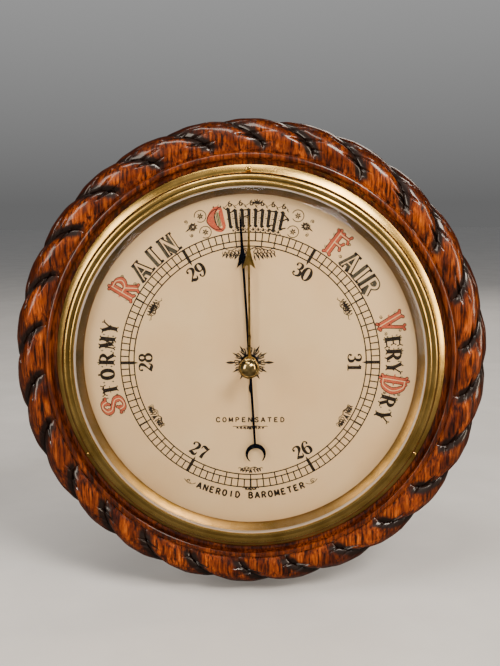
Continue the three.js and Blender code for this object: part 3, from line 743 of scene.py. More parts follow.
# %% [markdown]
# Each stroke of the print is a raised sliver of ink a few hundredths of a millimetre thick, laid on
# the enamel, because real strokes have crisp edges at any distance. Strokes of one ink gather under
# one name and become one piece at the end. Ink that goes over other ink is printed a little higher.

# %% Strokes of ink
INK_SINK = 0.02              # the ink's underside is this far into the enamel, in mm
SECOND_COAT = {"red_initials": 0.05, "letter_faces": 0.08, "initial_lines": 0.09,
               "olive_lines": 0.09, "initial_edges": 0.09}
prints = {}                  # piece name: (vertices, faces, number of strokes)


def lay(name, outline_pairs, closed=False):
    """Adds one sliver of ink whose left and right edges are pairs of dial points."""
    verts, faces, strokes = prints.setdefault(name, ([], [], [0]))
    top = DIAL_FRONT + 0.03 + 0.004 * (strokes[0] % 7) + SECOND_COAT.get(name, 0)
    strokes[0] += 1
    start, count = len(verts), len(outline_pairs)
    for left, right in outline_pairs:
        verts += [on_dial(*left, top), on_dial(*right, top),
                  on_dial(*right, DIAL_FRONT - INK_SINK), on_dial(*left, DIAL_FRONT - INK_SINK)]
    for i in range(count if closed else count - 1):
        a, b = start + 4 * i, start + 4 * ((i + 1) % count)
        for side in range(4):
            following = (side + 1) % 4
            faces.append((a + side, a + following, b + following, b + side))
    if not closed:
        faces.append(tuple(start + side for side in range(4)))
        last = start + 4 * (count - 1)
        faces.append(tuple(last + side for side in range(4)))


def smooth(points, steps=6):
    """A curve through all the points, carrying any extra numbers such as a width along."""
    rows = [np.array(p, float) for p in points]
    rows = [2 * rows[0] - rows[1], *rows, 2 * rows[-1] - rows[-2]]
    result = []
    for a, b, c, d in zip(rows, rows[1:], rows[2:], rows[3:]):
        for t in np.arange(steps) / steps:
            result.append(0.5 * (2 * b + (c - a) * t + (2 * a - 5 * b + 4 * c - d) * t ** 2
                                 + (3 * b - a - 3 * c + d) * t ** 3))
    return [*result, rows[-2]]


def ribbon(name, path, widths, place, closed=False):
    """Ink along a path of local (x, y) points. widths is one number or one for each point."""
    path = [np.array(p[:2], float) for p in path]
    count = len(path)
    widths = [widths] * count if np.isscalar(widths) else widths
    pairs = []
    for i, (point, width) in enumerate(zip(path, widths)):
        before = path[(i - 1) % count] if closed or i else path[0]
        after = path[(i + 1) % count] if closed or i < count - 1 else path[-1]
        run = after - before
        run = run / (np.hypot(*run) or 1.0)
        edge = np.array([-run[1], run[0]]) * width / 2
        pairs.append((place(*(point + edge)), place(*(point - edge))))
    lay(name, pairs, closed)


print("strokes can be laid, smoothed and drawn as ribbons")

# %% [markdown]
# Letters and ornaments are drawn round their own middle and then placed: level on the dial, turned
# to a spot round it, or bent so that a long line follows the circle.

# %% Placing the print
def upright(x0, z0):
    """Places local points level on the dial, round a point."""
    return lambda x, y: (x0 + x, z0 + y)


def round_dial(radius, clockwise, inward=False):
    """Places local points at a spot round the dial, their tops outwards or, if inward, inwards."""
    angle = math.radians(clockwise)
    out = np.array([math.sin(angle), math.cos(angle)])
    along = np.array([math.cos(angle), -math.sin(angle)])
    if inward:
        out, along, radius = -out, -along, -radius

    def place(x, y):
        return tuple(along * x + out * (radius + y))
    return place


def bent_round(radius, clockwise):
    """Places local points round the dial so that a long line of x follows the circle."""
    def place(x, y):
        angle = math.radians(clockwise) + x / radius
        return ((radius + y) * math.sin(angle), (radius + y) * math.cos(angle))
    return place


def dot(name, x, y, wide, high, place, corners=12):
    """A spot of ink: round, or with four corners a diamond."""
    half = corners // 2
    pairs = []
    for i in range(half + 1):
        angle = math.pi * i / half
        y_now = y + high / 2 * math.cos(angle)
        x_half = max(wide / 2 * math.sin(angle), 0.01)
        pairs.append((place(x - x_half, y_now), place(x + x_half, y_now)))
    lay(name, pairs)


print("top of the scale lies at", [round(v, 1) for v in round_dial(77.7, 0)(0, 0)])

# %% [markdown]
# The scale: on this dial an inch of mercury takes 60 degrees, with 29.5 at the top, so that the
# common readings are where the eye falls first. Three rings make two tracks. Every twentieth of
# an inch has a tick in the outer track, every tenth crosses both, and whole inches are bold.

# %% The scale
RING_RADII = (77.7, 72.7, 69.6)
DEGREES_PER_INCH = 60
TOP_READING = 29.5

for ring_radius in RING_RADII:
    around = [(ring_radius * math.sin(a), ring_radius * math.cos(a))
              for a in np.linspace(0, 2 * math.pi, 361)[:-1]]
    ribbon("scale_ticks", around, 0.74, upright(0, 0), closed=True)

for step in range(120):
    clockwise = 3 * step
    spot = round_dial(0, clockwise)
    whole_inch = (clockwise - 30) % 60 == 0
    half_inch = clockwise % 30 == 0
    inner = RING_RADII[2] if step % 2 == 0 else RING_RADII[1]
    width = 1.9 if whole_inch else 0.72
    ribbon("scale_ticks", [(0, inner), (0, RING_RADII[0])], width, spot)
    if half_inch and not whole_inch:
        ribbon("scale_ticks", [(0, RING_RADII[1]), (0, RING_RADII[0])], 1.1, spot)
    if whole_inch:
        ribbon("scale_ticks", [(0, RING_RADII[2]), (0, RING_RADII[2] - 2.4)], [1.5, 0.15], spot)
print("ticks:", 120)

# %% [markdown]
# Numerals of this age are "modern roman": the strokes swell from a hairline to a heavy stem and
# end in round balls. Each one here is a few curves through points that also carry the width,
# in units of the numeral's height.

# %% Numerals
BALL = "ball"
NUMERALS = {
    "0": [[(0.35 + 0.27 * math.sin(a), 0.5 + 0.475 * math.cos(a),
            0.04 + 0.14 * abs(math.sin(a)) ** 1.6) for a in np.linspace(0, 2 * math.pi, 13)]],
    "1": [[(0.37, 0.99, 0.16), (0.37, 0.02, 0.16)], [(0.36, 0.97, 0.08), (0.17, 0.83, 0.03)],
          [(0.14, 0.02, 0.04), (0.60, 0.02, 0.04)]],
    "2": [[(0.10, 0.74, 0.05), (0.15, 0.90, 0.05), (0.34, 0.98, 0.05), (0.55, 0.87, 0.14),
           (0.55, 0.67, 0.16), (0.40, 0.44, 0.08), (0.20, 0.22, 0.05), (0.07, 0.05, 0.05)],
          [(0.07, 0.06, 0.05), (0.22, 0.12, 0.15), (0.42, 0.06, 0.16), (0.57, 0.08, 0.08),
           (0.63, 0.28, 0.03)], (BALL, 0.15, 0.76, 0.17)],
    "3": [[(0.10, 0.78, 0.05), (0.16, 0.92, 0.05), (0.34, 0.98, 0.05), (0.52, 0.88, 0.14),
           (0.52, 0.67, 0.14), (0.40, 0.54, 0.05), (0.27, 0.52, 0.05)],
          [(0.27, 0.52, 0.05), (0.46, 0.50, 0.06), (0.60, 0.34, 0.15), (0.58, 0.14, 0.14),
           (0.36, 0.02, 0.05), (0.16, 0.07, 0.05), (0.10, 0.20, 0.05)],
          (BALL, 0.15, 0.78, 0.16), (BALL, 0.16, 0.22, 0.17)],
    "6": [[(0.58, 0.82, 0.05), (0.50, 0.95, 0.05), (0.36, 0.985, 0.05), (0.18, 0.80, 0.12),
           (0.11, 0.46, 0.17), (0.17, 0.14, 0.13), (0.36, 0.02, 0.05), (0.55, 0.12, 0.13),
           (0.59, 0.30, 0.16), (0.54, 0.49, 0.12), (0.38, 0.58, 0.05), (0.21, 0.50, 0.05),
           (0.15, 0.38, 0.05)], (BALL, 0.54, 0.80, 0.16)],
    "7": [[(0.07, 0.70, 0.03), (0.11, 0.91, 0.06), (0.25, 0.94, 0.15), (0.45, 0.88, 0.15),
           (0.57, 0.92, 0.06), (0.62, 0.99, 0.04)],
          [(0.62, 0.99, 0.04), (0.47, 0.64, 0.07), (0.36, 0.34, 0.14), (0.34, 0.03, 0.18)]],
    "8": [[(0.35 + 0.20 * math.sin(a), 0.755 + 0.215 * math.cos(a),
            0.05 + 0.08 * abs(math.sin(a)) ** 1.6) for a in np.linspace(0, 2 * math.pi, 11)],
          [(0.35 + 0.25 * math.sin(a), 0.275 + 0.255 * math.cos(a),
            0.05 + 0.10 * abs(math.sin(a)) ** 1.6) for a in np.linspace(0, 2 * math.pi, 11)]],
}
NUMERALS["9"] = [part if part[0] == BALL else [(0.70 - x, 1 - y, w) for x, y, w in part]
                 for part in NUMERALS["6"][:1]] + [(BALL, 0.16, 0.20, 0.16)]
NUMERAL_HEIGHT = 8.2


def numeral(figure, left, place):
    high = NUMERAL_HEIGHT
    for part in NUMERALS[figure]:
        if part[0] == BALL:
            _, x, y, size = part
            dot("scale_numerals", left + x * high, (y - 0.5) * high, size * high, size * high,
                place)
            continue
        rows = part if len(part) == 2 else smooth(part, 5)
        ribbon("scale_numerals", [(left + r[0] * high, (r[1] - 0.5) * high) for r in rows],
               [(r[2] * 1.3 + 0.03) * high for r in rows], place)


for inches in range(26, 32):
    clockwise = (inches - TOP_READING) * DEGREES_PER_INCH
    place = round_dial(62.7, clockwise, inward=inches < 28)
    advance = 0.72 * NUMERAL_HEIGHT
    for position, figure in enumerate(str(inches)):
        numeral(figure, (position - 1) * advance + 0.2, place)
print("numerals:", 6)

# %% [markdown]
# The weather words are cut in a fancy "tuscan" letter: heavy stems whose ends split like a
# fishtail, with a spur half way up. The plain words use the same bones with no ornament. So one
# table of strokes in a unit square serves both, and a style function puts the flesh on.

# %% Letter bones
LETTERS = {
    "A": [[(0.08, 0), (0.50, 1)], [(0.50, 1), (0.92, 0)], [(0.24, 0.34), (0.76, 0.34)]],
    "B": [[(0.16, 0), (0.16, 1)],
          [(0.16, 0.96), (0.55, 0.95), (0.76, 0.76), (0.55, 0.55), (0.16, 0.53)],
          [(0.16, 0.53), (0.62, 0.50), (0.86, 0.27), (0.62, 0.04), (0.16, 0.04)]],
    "C": [[(0.88, 0.72), (0.76, 0.93), (0.50, 0.97), (0.22, 0.82), (0.13, 0.50),
           (0.22, 0.18), (0.50, 0.03), (0.78, 0.09), (0.89, 0.28)]],
    "D": [[(0.16, 0), (0.16, 1)],
          [(0.16, 0.96), (0.58, 0.92), (0.86, 0.50), (0.58, 0.08), (0.16, 0.04)]],
    "E": [[(0.18, 0), (0.18, 1)], [(0.18, 0.94), (0.84, 0.94)], [(0.18, 0.52), (0.68, 0.52)],
          [(0.18, 0.06), (0.88, 0.06)]],
    "F": [[(0.20, 0), (0.20, 1)], [(0.20, 0.94), (0.88, 0.94)], [(0.20, 0.52), (0.70, 0.52)]],
    "I": [[(0.50, 0), (0.50, 1)]],
    "M": [[(0.10, 0), (0.14, 1)], [(0.14, 1), (0.50, 0.15)], [(0.50, 0.15), (0.86, 1)],
          [(0.86, 1), (0.90, 0)]],
    "N": [[(0.14, 0), (0.14, 1)], [(0.14, 1), (0.86, 0)], [(0.86, 0), (0.86, 1)]],
    "O": [[(0.5 + 0.36 * math.sin(a), 0.5 + 0.46 * math.cos(a))
           for a in np.linspace(0, 2 * math.pi, 13)]],
    "P": [[(0.18, 0), (0.18, 1)],
          [(0.18, 0.95), (0.60, 0.94), (0.82, 0.73), (0.60, 0.50), (0.18, 0.48)]],
    "R": [[(0.16, 0), (0.16, 1)],
          [(0.16, 0.95), (0.58, 0.94), (0.80, 0.73), (0.58, 0.51), (0.16, 0.49)],
          [(0.48, 0.50), (0.88, 0)]],
    "S": [[(0.82, 0.74), (0.72, 0.92), (0.48, 0.97), (0.20, 0.84), (0.22, 0.63),
           (0.50, 0.51), (0.80, 0.36), (0.80, 0.14), (0.50, 0.03), (0.24, 0.08),
           (0.14, 0.28)]],
    "T": [[(0.50, 0), (0.50, 1)], [(0.06, 0.94), (0.94, 0.94)]],
    "V": [[(0.08, 1), (0.50, 0)], [(0.50, 0), (0.92, 1)]],
    "Y": [[(0.08, 1), (0.50, 0.46)], [(0.92, 1), (0.50, 0.46)], [(0.50, 0.46), (0.50, 0)]],
}
LIGHT_STROKES = {("A", 0), ("A", 2), ("M", 0), ("M", 2), ("N", 0), ("N", 2), ("V", 1), ("Y", 1)}


def letter_strokes(letter, wide, high):
    """Each stroke of a letter as (smooth path in mm centred on the letter, is it light)."""
    for number, bones in enumerate(LETTERS[letter]):
        rows = bones if len(bones) == 2 else [r[:2] for r in smooth(bones, 5)]
        path = [np.array([(x - 0.5) * wide, (y - 0.5) * high]) for x, y in rows]
        yield path, (letter, number) in LIGHT_STROKES


def swelling(path, thin, thick):
    """Widths that swell where the pen runs up or down and thin where it runs across."""
    widths = []
    for i in range(len(path)):
        run = path[min(i + 1, len(path) - 1)] - path[max(i - 1, 0)]
        steep = abs(run[1]) / (np.hypot(*run) or 1.0)
        widths.append(thin + (thick - thin) * steep ** 1.5)
    return widths


def plain_letter(name, letter, wide, high, place, weight):
    for path, _ in letter_strokes(letter, wide, high):
        ribbon(name, path, weight, place)


def tuscan_letter(name, letter, wide, high, place, grow=0.0):
    """A fancy letter, all its strokes this many mm wider when it is the outline behind another."""
    thin, thick = 0.10 * high + grow, 0.27 * high + grow
    for path, light in letter_strokes(letter, wide, high):
        widths = swelling(path, thin, thin if light else thick)
        ribbon(name, path, widths, place)
        straight = len(path) == 2
        for end, inner in ((path[0], path[1]), (path[-1], path[-2])):
            run = (end - inner) / (np.hypot(*(end - inner)) or 1.0)
            edge = np.array([-run[1], run[0]])
            reach = (0.15 if not light else 0.09) * high
            for side in (-1, 1):
                tips = [end - run * 0.05 * high, end + edge * side * reach * 0.6,
                        end + edge * side * reach + run * 0.03 * high]
                ribbon(name, [t[:2] for t in smooth(tips, 3)], 0.07 * high + grow, place)
                dot(name, *tips[-1], 0.10 * high + grow, 0.10 * high + grow, place, 8)
        if straight and not light and abs((path[1] - path[0])[1]) > 0.7 * high:
            middle = (path[0] + path[1]) / 2
            dot(name, *middle, 0.44 * high + grow, 0.15 * high + grow, place, 4)
            for side in (-1, 1):
                dot(name, middle[0] + side * 0.22 * high, middle[1], 0.07 * high, 0.07 * high,
                    place, 8)


print("letters in the table:", len(LETTERS))

# %% [markdown]
# Round the foot of the dial runs the kind of instrument in a plain bold letter, tops inwards, and
# under the hand's axis stands one small generic word in the same bones, drawn lighter.

# %% Plain words
KIND, KIND_RADIUS, KIND_HEIGHT = "ANEROID BAROMETER", 82.8, 3.9
for letter, clockwise in zip(KIND, np.linspace(202.3, 157.7, len(KIND))):
    if letter == " ":
        continue
    narrow = 0.35 if letter == "I" else 1
    plain_letter("plain_words", letter, 3.1 * narrow, KIND_HEIGHT,
                 round_dial(KIND_RADIUS, clockwise, inward=True), 1.05)

SMALL_WORD = "COMPENSATED"
for position, letter in enumerate(SMALL_WORD):
    x = (position - (len(SMALL_WORD) - 1) / 2) * 3.9
    plain_letter("plain_words", letter, 2.7, 2.9, upright(x, -35.2), 0.72)
print("plain words:", KIND, "and", SMALL_WORD)

# %% [markdown]
# Scrollwork: a curl is a spiral that thins as it winds in. Sets of curls, dots and small leaves,
# mirrored about a centre line, make the little ornaments round the scale.

# %% Scrolls and ornaments
def curl(name, start, size, turns, place, side=1, lean=0.0, width=0.45):
    """A spiral stem from start, winding in to one side, size mm across."""
    path, widths = [], []
    steps = int(14 * turns) + 6
    for i in range(steps + 1):
        t = i / steps
        angle = lean + side * (math.pi - 2 * math.pi * turns * t)
        radius = size / 2 * (1 - 0.82 * t)
        path.append((start[0] + side * size / 2 + radius * math.cos(angle),
                     start[1] + radius * math.sin(angle)))
        widths.append(width * (0.5 + 0.9 * math.sin(math.pi * t)))
    ribbon(name, path, widths, place)
    dot(name, *path[-1], width * 1.7, width * 1.7, place, 8)


def leaf(name, base, tip, width, place):
    base, tip = np.array(base, float), np.array(tip, float)
    path = [base + (tip - base) * t for t in (0, 0.25, 0.5, 0.75, 1)]
    ribbon(name, path, [0.1 * width, 0.8 * width, width, 0.7 * width, 0.05 * width], place)


def ornament(name, wide, high, place, rows=3):
    """A lacy mirrored spray: curls that get smaller outwards under a fine wavy stem."""
    leaf(name, (0, -high / 2), (0, high * 0.3), 0.9, place)
    for side in (-1, 1):
        stem_line = [(side * wide / 2 * t, high * (0.42 - 0.10 * math.cos(9 * t) - 0.1 * t))
                     for t in np.linspace(0, 1, 12)]
        ribbon(name, stem_line, 0.45, place)
        for i in range(rows):
            x = side * (0.3 + i * wide / (2 * rows + 0.6))
            size = high * (0.72 - 0.40 * i / rows)
            top = high * (0.16 - 0.02 * i)
            curl(name, (x, top), size, 1.1, place, side, lean=0.6 * side, width=0.42)
            leaf(name, (x + side * size * 0.5, top), (x + side * size, top - size * 0.8), 0.9,
                 place)
            leaf(name, (x, top - size * 0.2), (x + side * size * 0.2, top - size), 0.8, place)
        dot(name, side * wide / 2 + side * 0.3, high * 0.3, 0.6, 0.6, place, 8)


print("curl, leaf and ornament are ready")

# %% [markdown]
# Two of the words stand out as shaded block letters: a pale face in a black outline, with a dark
# shadow to one side. Three layers of ink do that, the same bones drawn three times, each narrower
# than the last and the shadow pushed aside. The large red capitals have a dark outline too.

# %% Shaded letters and red capitals
def block_letter(letter, wide, high, place):
    for shift in (1.2, 0.6):
        for path, light in letter_strokes(letter, wide, high):
            moved = [point + np.array([-shift, -shift * 0.7]) for point in path]
            ribbon("letter_shadows", moved, 2.4 if light else 3.5, place)
    for path, light in letter_strokes(letter, wide, high):
        body, face = (2.1, 0.7) if light else (3.3, 1.5)
        steep = swelling(path, 0.75, 1.0)
        ribbon("weather_words", path, [body * s for s in steep], place)
        ribbon("letter_faces", path, [face * s for s in steep], place)
        if len(path) == 2:
            for end in path:
                across = [end - np.array([body * 0.85, 0]), end + np.array([body * 0.85, 0])]
                if abs((path[1] - path[0])[1]) > 0.7 * high:
                    ribbon("weather_words", across, 1.5, place)


def initial_letter(letter, wide, high, place):
    """A large red tuscan capital with a pale line down each heavy stroke and curls round it."""
    tuscan_letter("initial_outlines", letter, wide, high, place, grow=0.9)
    tuscan_letter("red_initials", letter, wide, high, place)
    for path, light in letter_strokes(letter, wide, high):
        if not light:
            ribbon("initial_lines", path, 0.5, place)
    for side in (-1, 1):
        for y in (-0.32, 0.30):
            curl("initial_curls", (side * wide * 0.42, y * high), 2.3, 1.2, place, side,
                 lean=0.5 * side, width=0.34)


print("block letters and red capitals are ready")

# %% [markdown]
# The weather words follow the scale: foul weather by the low readings, fair by the high ones. Each
# word begins with a large red initial, and small grey lozenges fill the gaps between letters.

# %% Weather words
# Each word: the angles of its initial, its second and its last letter, the letters' width and
# height in mm, and whether they are shaded blocks.
WEATHER = [
    ("STORMY", 252.5, 259.0, 284.4, 6.6, 8.8, False),
    ("RAIN", 301.5, 311.3, 326.3, 8.2, 10.6, True),
    ("FAIR", 36.8, 45.3, 57.6, 7.8, 10.6, True),
    ("VERY", 74.5, 82.0, 92.3, 6.4, 8.8, False),
    ("DRY", 99.3, 106.2, 112.4, 6.4, 8.8, False),
]
WORD_RADIUS, INITIAL_HEIGHT, INITIAL_WIDTH = 86.2, 14.0, 9.6

for word, first, second, last, wide, high, shaded in WEATHER:
    initial_letter(word[0], INITIAL_WIDTH, INITIAL_HEIGHT, round_dial(WORD_RADIUS + 0.8, first))
    angles = np.linspace(second, last, len(word) - 1)
    for letter, clockwise in zip(word[1:], angles):
        if shaded:
            block_letter(letter, wide * (0.5 if letter == "I" else 1), high,
                         round_dial(WORD_RADIUS - 1.4, clockwise))
            continue
        place = round_dial(WORD_RADIUS, clockwise)
        tuscan_letter("weather_words", letter, wide, high, place)
        step = (angles[1] - angles[0]) / 2
        for height in (-2.8, 2.8):
            dot("grey_lozenges", 0, height, 1.1, 1.6, round_dial(WORD_RADIUS, clockwise - step), 4)
print("weather words:", [word for word, *_ in WEATHER])

# %% [markdown]
# Round the inside of the scale the ornaments fill the plain stretches between the numerals. Two
# swashes close the line at the foot, and a small flourish goes under the word by the hand's tail.

# %% Ornaments round the scale
for clockwise in (60, 120, 240, 300):
    low_half = 90 < clockwise < 270
    ornament("scrollwork", 14, 5.6 if low_half else -5.6,
             round_dial(66.2, clockwise, inward=low_half), rows=4)
ornament("scrollwork", 14, 4.0, round_dial(66.8, 180, inward=True))
ornament("scrollwork", 31, 8.4, round_dial(65.0, 0), rows=6)
ornament("scrollwork", 9, 2.2, round_dial(78.8, 180, inward=True), rows=2)
ornament("scrollwork", 20, 2.4, upright(0, -40.2), rows=4)
for side in (-1, 1):
    swash = bent_round(82.8, 180 + side * 26.5)
    curl("scrollwork", (side * -0.5, 0), 3.2, 1.2, swash, side, width=0.4)
    ribbon("scrollwork", smooth([(side * -3.4, -0.6), (side * -1.5, 1.0), (side * 1.5, 1.2),
                                 (side * 4.2, 0.1)], 4), 0.38, swash)
print("scrollwork strokes:", prints["scrollwork"][2][0])

# %% [markdown]
# "Change" stands at the top in black letter, the broad-nibbed hand of old charters: upright stems
# that end in lozenges, tied by thin slanting hairlines. Nine stems stand for the letters "hange",
# and rows of small grey dots fill the gaps between them.

# %% Black letter
TITLE_RADIUS = 86.0
TITLE_STEM = 1.9
STEM_STEP = 3.82
FIRST_STEM = -11.3           # mm along the arc from the top
LOW, HIGH = -4.6, 4.7
title = bent_round(TITLE_RADIUS, 0)


def stem(x, low, high):
    """A heavy upright stroke with a lozenge at its head and its foot, and a small side spur."""
    ribbon("change_letters", [(x, low), (x, high)], TITLE_STEM, title)
    for y, lean in ((low, 0.3), (high, -0.3)):
        dot("change_letters", x + lean, y, 3.1, 2.3, title, 4)
    dot("change_letters", x - 1.25, 0.2, 0.7, 1.1, title, 4)


HEADS = [HIGH + 1.2, HIGH, HIGH, HIGH, HIGH, HIGH, HIGH, HIGH, HIGH + 0.3]
FEET = [LOW, LOW - 0.8, LOW, LOW, LOW, LOW, LOW + 0.4, LOW - 1.6, LOW]
for number, (low, high) in enumerate(zip(FEET, HEADS)):
    x = FIRST_STEM + number * STEM_STEP
    stem(x, low, high)
    if number < len(HEADS) - 1:
        for height in (-2.6, -1.3, 0.0, 1.3, 2.6):
            dot("grey_lozenges", x + STEM_STEP / 2, height, 0.62, 0.8, title, 8)
# Hairlines: the stem that each starts from, and its heights at both ends.
HAIRLINES = [(0, 3.4, HIGH), (2, 0.2, 1.6), (2, HIGH, HIGH), (4, 3.4, HIGH),
             (6, LOW + 0.6, LOW + 1.6), (6, HIGH, HIGH), (8, HIGH - 0.2, 2.2)]
for first_stem, low, high in HAIRLINES:
    x = FIRST_STEM + first_stem * STEM_STEP
    ribbon("change_letters", [(x, low), (x + STEM_STEP * 0.9, high)], 0.75, title)
last_x = FIRST_STEM + 8 * STEM_STEP
for start, end in (((3.0, 2.2), (0.3, 0.2)), ((0.3, LOW), (3.4, LOW + 1.3))):
    path = [(last_x + start[0], start[1]), (last_x + end[0], end[1])]
    ribbon("change_letters", path, 0.8, title)
dot("change_letters", last_x + 3.6, 1.6, 1.5, 2.4, title, 4)
g_foot = last_x - STEM_STEP
ribbon("change_letters", [(g_foot, LOW - 1.8), (g_foot - 3.2, LOW - 1.0)], 0.8, title)
print("black letter stems:", len(HEADS))

# %% [markdown]
# The title's capital is a bold red bow closed by a stem, with a dark edge and three dark lines and
# an olive one down its middle.

# %% The red capital
capital = bent_round(86.9, -12.3)
bow = smooth([(3.9, 5.2, 1.2), (1.2, 6.6, 2.4), (-2.0, 4.2, 3.6), (-3.8, 0.4, 4.6),
              (-2.2, -3.8, 3.6), (0.9, -6.2, 2.4), (4.0, -5.0, 1.2)], 6)
ribbon("red_initials", bow, [row[2] for row in bow], capital)
ribbon("red_initials", [(2.9, 5.0), (3.4, -4.8)], 2.2, capital)
for x in (-0.9, 0.0, 1.7):
    ribbon("change_letters", [(x, 4.0), (x, -4.0)], 0.42, capital)
ribbon("olive_lines", [(0.85, 4.4), (0.85, -4.4)], 0.8, capital)
for side in (-1, 1):
    edge = [(row[0] + side * 0.5 * row[2], row[1] * (1 + side * 0.06)) for row in bow[4:-4]]
    ribbon("initial_edges", edge, 0.5, capital)
dot("change_letters", -0.4, 7.6, 1.3, 1.5, capital, 4)
print("bow points:", len(bow))

# %% [markdown]
# The title sits in a nest of scrolls: two round ones with a small flower inside and a cluster of
# leaves at each end, a vine of curls over the word with a crown in the middle, and a finer vine
# under it.

# %% Scrolls round the title
def rays(step, first=0, last=360):
    """The sine and cosine of each angle from first up to last, in steps of so many degrees."""
    angles = [math.radians(a) for a in range(first, last, step)]
    return [(math.sin(a), math.cos(a)) for a in angles]


for side, clockwise in ((-1, -18.1), (1, 18.3)):
    for height, size in ((91.6, 6.9), (81.9, 6.8)):
        centre = bent_round(height, clockwise)
        around = [(size / 2 * math.cos(a), size / 2 * math.sin(a))
                  for a in np.linspace(-2.4, 3.0, 26)]
        ribbon("change_scrolls", around, 0.5, centre)
        for s, c in rays(60):
            leaf("change_scrolls", (0.2 * c, 0.2 * s), (2.0 * c, 2.0 * s), 0.85, centre)
    cluster = bent_round(87.3, clockwise + side * 3.9)
    for s, c in rays(45):
        leaf("change_scrolls", (0.4 * c, 0.4 * s), (2.9 * c, 2.6 * s), 1.0, cluster)
        curl("change_scrolls", (1.8 * c, 1.6 * s), 1.5, 1.0, cluster, side, width=0.32)
    for y, tilt in ((4.2, 1), (-4.2, -1)):
        curl("change_scrolls", (side * 1.6, y), 2.4, 1.2, cluster, side, lean=tilt, width=0.36)
    leaf("change_scrolls", (side * 1.5, 0), (side * 5.4, -1.0), 0.9, cluster)

# Each vine: its height, the size of its curls, and where it starts and ends along the arc.
for height, size, first, last in ((8.2, 2.9, -14.0, 22.0), (-6.7, 1.6, -9.0, 20.0)):
    wave = [(x, height + 0.3 * size * math.sin(math.pi * x / size))
            for x in np.arange(first, last, size / 6)]
    ribbon("change_scrolls", wave, 0.34, title)
    for number, x in enumerate(np.arange(first, last, size)):
        side = 1 if number % 2 else -1
        curl("change_scrolls", (x, height), size * 0.95, 0.8, title, side, lean=1.2 * side,
             width=0.42)
        leaf("change_scrolls", (x, height + side * size * 0.3),
             (x + size * 0.5, height + side * size * 0.8), 0.7, title)
for s, c in rays(30, -60, 61):
    leaf("change_scrolls", (4.5, 8.0), (4.5 + 3.2 * s, 8.0 + 3.2 * c), 0.9, title)
print("title scroll strokes:", prints["change_scrolls"][2][0])

# %% [markdown]
# Round the hand's axis is a star of twelve leaves, a common printer's ornament that hides the
# hole's edge. The four long leaves mark up, down, left and right. With it the print is complete,
# and every name that gathered strokes becomes a piece in its own ink.

# %% Central star, and the printed pieces
for ray in range(12):
    long_leaf = ray % 3 == 0
    reach = (18.7 if ray % 6 == 0 else 14.6) if long_leaf else 12.0
    spot = round_dial(0, 30 * ray)
    ribbon("centre_star", [(0, 2.5), (0, reach - 3)], 0.55, spot)
    leaf("centre_star", (0, reach - 6.0), (0, reach), 1.7 if long_leaf else 1.2, spot)
    for side in (-1, 1):
        leaf("centre_star", (0, 4.2), (side * 1.7, 9.0), 0.9, spot)
        curl("centre_star", (0, 8.6), 1.9, 0.8, spot, side, lean=0.9 * side, width=0.34)

INKS = {"red_initials": red_ink, "olive_lines": olive_ink, "grey_lozenges": grey_ink,
        "letter_shadows": shading_ink, "letter_faces": cream_enamel, "initial_lines": cream_enamel}
for name, (verts, faces, strokes) in prints.items():
    piece("printed_" + name, verts, faces, INKS.get(name, black_ink), "case", "enamel")
    print("printed", name, "strokes:", strokes[0])

# %% [markdown]
# The reading hand is blued steel, filed to a slim blade with a barbed head; its tail balances it
# and ends in an open crescent. The set hand is brass, has no tail, and is turned by the knob to
# mark the last reading. Both are cut from sheet, so each is an outline given a thickness with its
# front edges filed off.

# %% Shapes filed from sheet
def filed_plate(outline, back, thick, file, place, verts, faces):
    """Adds a flat solid with its front edge filed off by this many mm."""
    count, start = len(outline), len(verts)
    loop = [np.array(p, float) for p in outline]
    inner = []
    for i, point in enumerate(loop):
        a, b = loop[i - 1] - point, loop[(i + 1) % count] - point
        a, b = a / (np.hypot(*a) or 1), b / (np.hypot(*b) or 1)
        run = b - a
        run = run / (np.hypot(*run) or 1)
        inner.append(point + np.array([-run[1], run[0]]) * file)
    rings = [(loop, back), (loop, back + thick - file), (inner, back + thick)]
    for ring, depth in rings:
        verts += [on_dial(*place(*p), depth) for p in ring]
    for level in range(2):
        faces += band(start + level * count, start + (level + 1) * count, count)
    faces.append(tuple(start + i for i in range(count)))
    faces.append(tuple(start + 2 * count + i for i in range(count)))


def ring_outline(radius, start, end, steps, x=0.0, z=0.0):
    return [(x + radius * math.cos(a), z + radius * math.sin(a))
            for a in np.radians(np.linspace(start, end, steps))]


def mirrored(half_widths):
    return half_widths + [(-w, z) for w, z in reversed(half_widths)]


def crescent(z, outer, inner, drop):
    """A ring open at the foot, its hollow this much lower than its rim."""
    horns = ring_outline(outer, -48, 228, 40, z=z)
    hollow = ring_outline(inner, 224, -44, 36, z=z - drop)
    return horns + hollow


def tilted(clockwise):
    angle = math.radians(clockwise)
    c, s = math.cos(angle), math.sin(angle)
    return lambda x, z: (x * c + z * s, -x * s + z * c)


print("crescent points:", len(crescent(0, 6, 4, 1)))

# %% [markdown]
# The reading hand points to 29.44 inches, 3.3 degrees short of the top, and the set hand to the top
# itself. Each has a round boss that fits its arbor.

